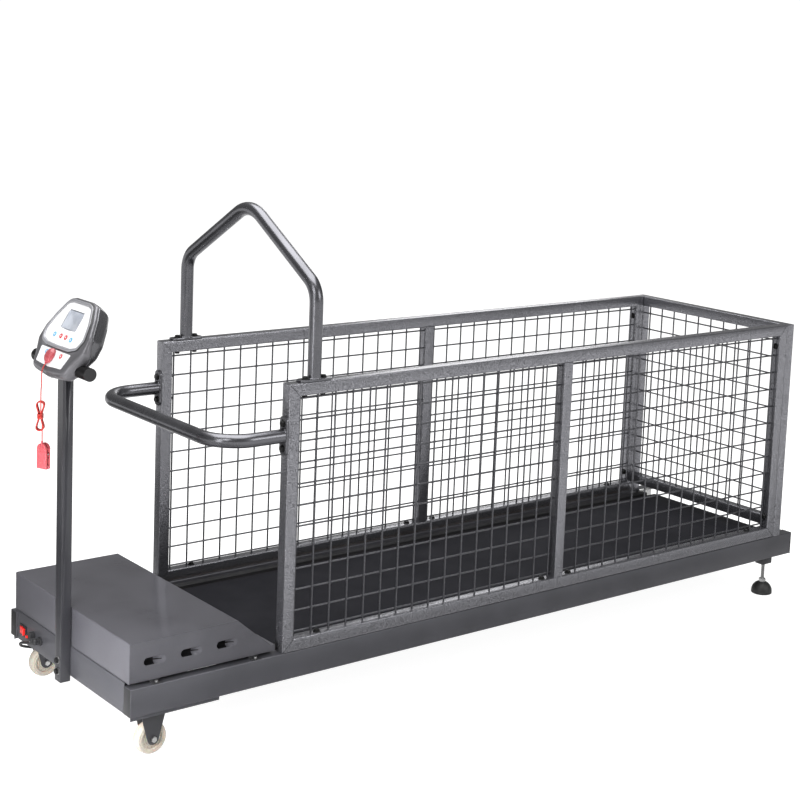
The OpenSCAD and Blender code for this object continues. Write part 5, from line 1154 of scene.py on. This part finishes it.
def grow_loop(loop, by):
    """A clockwise or anticlockwise loop moved outwards by a distance."""
    moved = inset(loop, by)
    grew = sum((p - face_mid).length for p in moved) > sum((p - face_mid).length for p in loop)
    return moved if grew == (by > 0) else inset(loop, -by)


rim = spokes(rounded(head_outline(((0.37, 1), (0.58, 0.89), (0.79, 0.33), (0.99, -0.2), (1, -0.47), (0.77, -0.75),
                                   (0.66, -0.95), (0, -1))), 0.016, 8))
pane = spokes(rounded(head_outline(((0.33, 0.76), (0.5, 0.66), (0.71, 0), (0.82, -0.28), (0.74, -0.43),
                                    (0.5, -0.49), (0, -0.5))), 0.012, 8))
window_x, window_y = 0.036, 0.0235
window = spokes(rounded([(window_x, window_y), (-window_x, window_y), (-window_x, -window_y), (window_x, -window_y)],
                        0.002, 4))


def faced(loop, w):
    return [on_face @ Vector((p.x, p.y, w)) for p in loop]


bezel_plastic = finish("bezel_plastic", grain, 0.00003, Dark=(0.14, 0.138, 0.148), Light=(0.2, 0.197, 0.21),
                       Scale=1500.0, Rough=0.26, Spread=0.2, Metallic=0.5, Specular_IOR_Level=0.3)
rim_plastic = finish("rim_plastic", grain, 0.00003, Dark=(0.3, 0.3, 0.32), Light=(0.38, 0.38, 0.405), Scale=1500.0,
                     Rough=0.26, Spread=0.2, Metallic=0.3, Coat_Weight=0.2)
shell_plastic = finish("shell_plastic", grain, 0.00003, Dark=(0.1, 0.1, 0.108), Light=(0.15, 0.15, 0.16),
                       Scale=1200.0, Rough=0.16, Spread=0.3, Metallic=0.7, Specular_IOR_Level=0.4, Coat_Weight=0.45,
                       Coat_Roughness=0.12)


def chin_row(grow, deep, grow_low, deep_low):
    """The rim's outline on the frame's side wall, which swells and goes further back towards the chin."""
    row = []
    for at, out in zip(rim, grow_loop(rim, 0.01)):
        low_share = ease((-at.y - 0.015) / 0.075)
        p = at.lerp(out, 100 * (grow + (grow_low - grow) * low_share))
        row.append(on_face @ Vector((p.x, p.y, deep + (deep_low - deep) * low_share)))
    return row


walls = [chin_row(*row) for row in (
    (-0.003, -0.008, -0.004, -0.036), (0, -0.008, 0.001, -0.036), (0, -0.0075, 0.0045, -0.03),
    (0, -0.0066, 0.0068, -0.022), (0, -0.0054, 0.0074, -0.014), (0, -0.0042, 0.0062, -0.008),
    (-0.0006, -0.0026, 0.0036, -0.0038), (-0.0018, -0.0012, 0.0006, -0.0014), (-0.0036, -0.0003, -0.0026, -0.0003))]
rows = [faced(grow_loop(pane, out), w) for out, w in (
    (0.0095, 0.0), (0.0088, 0.0012), (0.0078, 0.0029), (0.0062, 0.0038), (0.0045, 0.004), (0.0022, 0.0037),
    (0.0008, 0.0027), (0.0002, 0.0012), (0.0001, -0.0001))]
rows += [faced(grow_loop(window, out), w) for out, w in ((0.0005, -0.0001), (0.0004, -0.006))]
bezel = shell(bmesh.new(), walls + [faced(grow_loop(rim, -0.0055), 0.0), rows[0]])
# Painted shade: the raised rim's outer wall is black, a painted shadow gap round the rim.
shell(bezel, rows[:3], material=2)
shell(bezel, rows[2:], material=1)
add_piece("console_front", outward(bezel, 1e-7), [bezel_plastic, rim_plastic, black_plastic], "frame", "bezel",
          "console_bezel", sharp=60)

shell_mid = -0.036
rows = [(0.97, -0.0065), (0.985, -0.0082), (0.993, -0.0088), (0.998, -0.012), (0.985, -0.0125), (0.985, -0.0135),
        (0.997, -0.014), (0.992, -0.022), (0.978, -0.03), (0.955, -0.037), (0.925, -0.043), (0.885, -0.047),
        (0.82, -0.0492), (0.7, -0.05), (0.35, -0.05)]
cover = shell(bmesh.new(), [faced([Vector((p.x * k, shell_mid + (p.y - shell_mid) * k)) for p in rim], w)
                            for k, w in rows], end=True)
add_piece("console_shell", outward(cover), shell_plastic, "frame", "shell", "console_back", sharp=50)

overlay_film = finish("overlay_film", grain, 0.00002, Dark=(0.88, 0.88, 0.89), Light=(0.94, 0.94, 0.95), Scale=900.0,
                      Rough=0.3, Spread=0.2)
button_shares = ((-0.39, -0.33), (-0.11, -0.325), (0.11, -0.325), (0.35, -0.34), (-0.32, -0.67), (0.32, -0.67))
button_spots = [Vector((x * half_head, y * head_dn)) for x, y in button_shares]
button_hole, film_top, film_foot = 0.0058, 0.001, 0.0001


def ring_at(centre, r, count=28):
    return [centre + Vector((r * math.cos(a), r * math.sin(a))) for a in angles(count)]


def film(outline, holes):
    """A thin sheet on the face with openings, and a turned down edge."""
    bm = bmesh.new()
    outlined(bm, [outline] + holes, lambda p: (p.x, p.y, film_top), (0, 0, 1))
    for face in bm.faces:
        if face.normal.z < 0:
            face.normal_flip()
    for v in drawn_rim(bm):
        v.co.z = film_foot
    bmesh.ops.transform(bm, matrix=on_face, verts=bm.verts)
    return outward(bm)


holes = [ring_at(p, button_hole) for p in button_spots]
films = film(grow_loop(pane, -0.0004), [grow_loop(window, 0.0003)[::4]] + holes[:4])
poured(films, film(rounded(head_outline(((0.66, -0.59), (0.56, -0.88), (0, -0.91))), 0.004, 5), holes[4:]))
add_piece("console_films", films, overlay_film, "frame", "overlay", "console_overlays", sharp=30)

glass = finish("display_glass", grain, 0.00001, Dark=(0.4, 0.43, 0.5), Light=(0.52, 0.55, 0.61), Scale=60.0,
               Rough=0.12, Spread=0.1, Coat_Weight=0.6, Coat_Roughness=0.05)
display_frame = finish("display_frame", grain, 0.00002, Dark=(0.12, 0.14, 0.17), Light=(0.18, 0.2, 0.24),
                       Scale=300.0, Rough=0.25, Spread=0.2)
border = [faced(grow_loop(window, out), w) for out, w in ((-0.0003, 0.0), (-0.0012, 0.0004), (-0.0018, 0.0004),
                                                          (-0.0024, 0.0001))]
lcd = shell(bmesh.new(), [faced(window, -0.013)] + border[:3], True, False, 1)
shell(lcd, border[2:], False, True)
add_piece("display", outward(lcd, 1e-7), [glass, display_frame], "frame", "display", "lcd_panel")
board_green = finish("board_green", grain, 0.00005, Dark=(0.01, 0.08, 0.03), Light=(0.02, 0.14, 0.05), Scale=300.0,
                     Rough=0.35, Spread=0.2)
refine("console_board", board_green)

# Console keys: six small round push keys with a dished cap and a pale middle. The upper row is blue at the sides
# and red between, the lower row blue and red. Each slides through its overlay and stands a little proud.
key_ring = finish("key_ring", grain, 0.00002, Dark=(0.7, 0.7, 0.72), Light=(0.8, 0.8, 0.82), Scale=500.0, Rough=0.3,
                  Spread=0.2)
key_blue = finish("key_blue", grain, 0.00003, Dark=(0.07, 0.36, 0.64), Light=(0.13, 0.48, 0.76), Scale=400.0,
                  Rough=0.24, Spread=0.2)
key_red = finish("key_red", grain, 0.00003, Dark=(0.52, 0.015, 0.02), Light=(0.68, 0.03, 0.035), Scale=400.0,
                 Rough=0.24, Spread=0.2)
key_nodes = [f"button_upper_{n}" for n in (1, 2, 3, 4)] + [f"button_lower_{n}" for n in (1, 2)]
cap_bands = [[(0.0055, -0.0055), (0.0055, 0.0016), (0.0053, 0.0022), (0.0049, 0.0025), (0.0043, 0.0025)],
             [(0.0043, 0.0025), (0.0038, 0.0023), (0.0028, 0.0021), (0.0024, 0.0021)],
             [(0.0024, 0.0021), (0.0016, 0.002), (0.0006, 0.002)]]
for node, spot, tint in zip(key_nodes, button_spots, (key_blue, key_red, key_red, key_blue, key_blue, key_red)):
    cap = bmesh.new()
    for n, profile in enumerate(cap_bands):
        shell(cap, [faced(ring_at(spot, r, 32), w) for r, w in profile], n == 0, n == 2, int(n == 2))
    add_piece(node + "_cap", outward(cap, 1e-7), [tint, key_ring], node, slot_of(node), node)

# Safety key: a glossy red moulded oval on the lower overlay, with a boss for the string.
# It pulls straight off the face, and the string and the clip come with it.
key_gloss = finish("key_gloss", grain, 0.00002, Dark=(0.36, 0.05, 0.062), Light=(0.46, 0.09, 0.102), Scale=300.0,
                   Rough=0.28, Spread=0.15, Coat_Weight=0.4, Coat_Roughness=0.2)
key_spot = Vector((-0.05 * half_head, -0.725 * head_dn))
key_z, boss_z, rim_z, dome_h = 0.0013, 0.0048, 0.0018, 0.0112
dome = [(0.9, 0.0), (0.97, 0.0006), (1.0, rim_z)]
dome += [(math.cos(a) ** 0.75, rim_z + dome_h * math.sin(a)) for a in np.linspace(0.12, 1.45, 14)]
oval = [Vector(p) for p in oblong(0.015, 0.018, 2.1, 48)]
knob = shell(bmesh.new(), [faced([key_spot + p * k for p in oval], key_z + w) for k, w in dome], True, True)
boss_rows = [(0.0035, -0.006), (0.0035, -0.0182), (0.0032, -0.0192), (0.0025, -0.0197), (0.0014, -0.0197)]
shell(knob, [[on_face @ Vector((key_spot.x + p.x, key_spot.y + v, boss_z + p.y))
              for p in ring_at(Vector((0, 0)), r, 20)] for r, v in boss_rows], True, True)
add_piece("safety_knob", outward(knob), key_gloss, "safety_key", "red_key", "safety_key", sharp=50)

# Front plate fittings: a red rocker switch in a black frame, a small red reset button in its collar, a fuse
# holder, and a black elbow with a ribbed boot for the mains lead.
rocker_red = finish("rocker_red", grain, 0.00003, Dark=(0.5, 0.008, 0.006), Light=(0.66, 0.02, 0.014), Scale=400.0,
                    Rough=0.2, Spread=0.2, Coat_Weight=0.3)
refine("switch_housing", black_plastic, 0.0005, 0.006)
refine("rocker", rocker_red, 0.0005, 0.006)
refine("reset_button", rocker_red)
gland_at = elbow_at + Vector((0.014, 0, 0))
ball_r, boot_steps, boot_plain, boot_thick, boot_taper, boot_groove = 0.0082, 30, 0.28, 0.007, 0.0025, 0.0009
elbow = lathe(bmesh.new(), [(0.0105, 0.0), (0.011, -0.0006), (0.011, -0.0034), (0.0102, -0.004), (0.0072, -0.004)],
              gland_at, "x", 6)
lathe(elbow, [(0.0067, 0.006), (0.0067, -0.0038), (0.007, -0.0042), (0.007, -0.0125), (0.006, -0.016)], gland_at,
      "x", 32)
lathe(elbow, [(ball_r * math.sin(a), -ball_r * math.cos(a)) for a in np.linspace(0.15, math.pi - 0.15, 14)],
      elbow_at, "x", 32)
boot_line, boot_rs = [], []
for k in range(boot_steps):
    t = k / (boot_steps - 1)
    boot_line.append(elbow_at + boot_way * boot_l * t)
    thick = boot_thick - boot_taper * t
    boot_rs.append(thick if t < boot_plain or k % 4 < 2 else thick - boot_groove)
sweep(elbow, boot_line, boot_rs, 24)
add_piece("lead_elbow", outward(elbow), black_plastic, "frame", "black_plastic", "cord_gland", sharp=34)
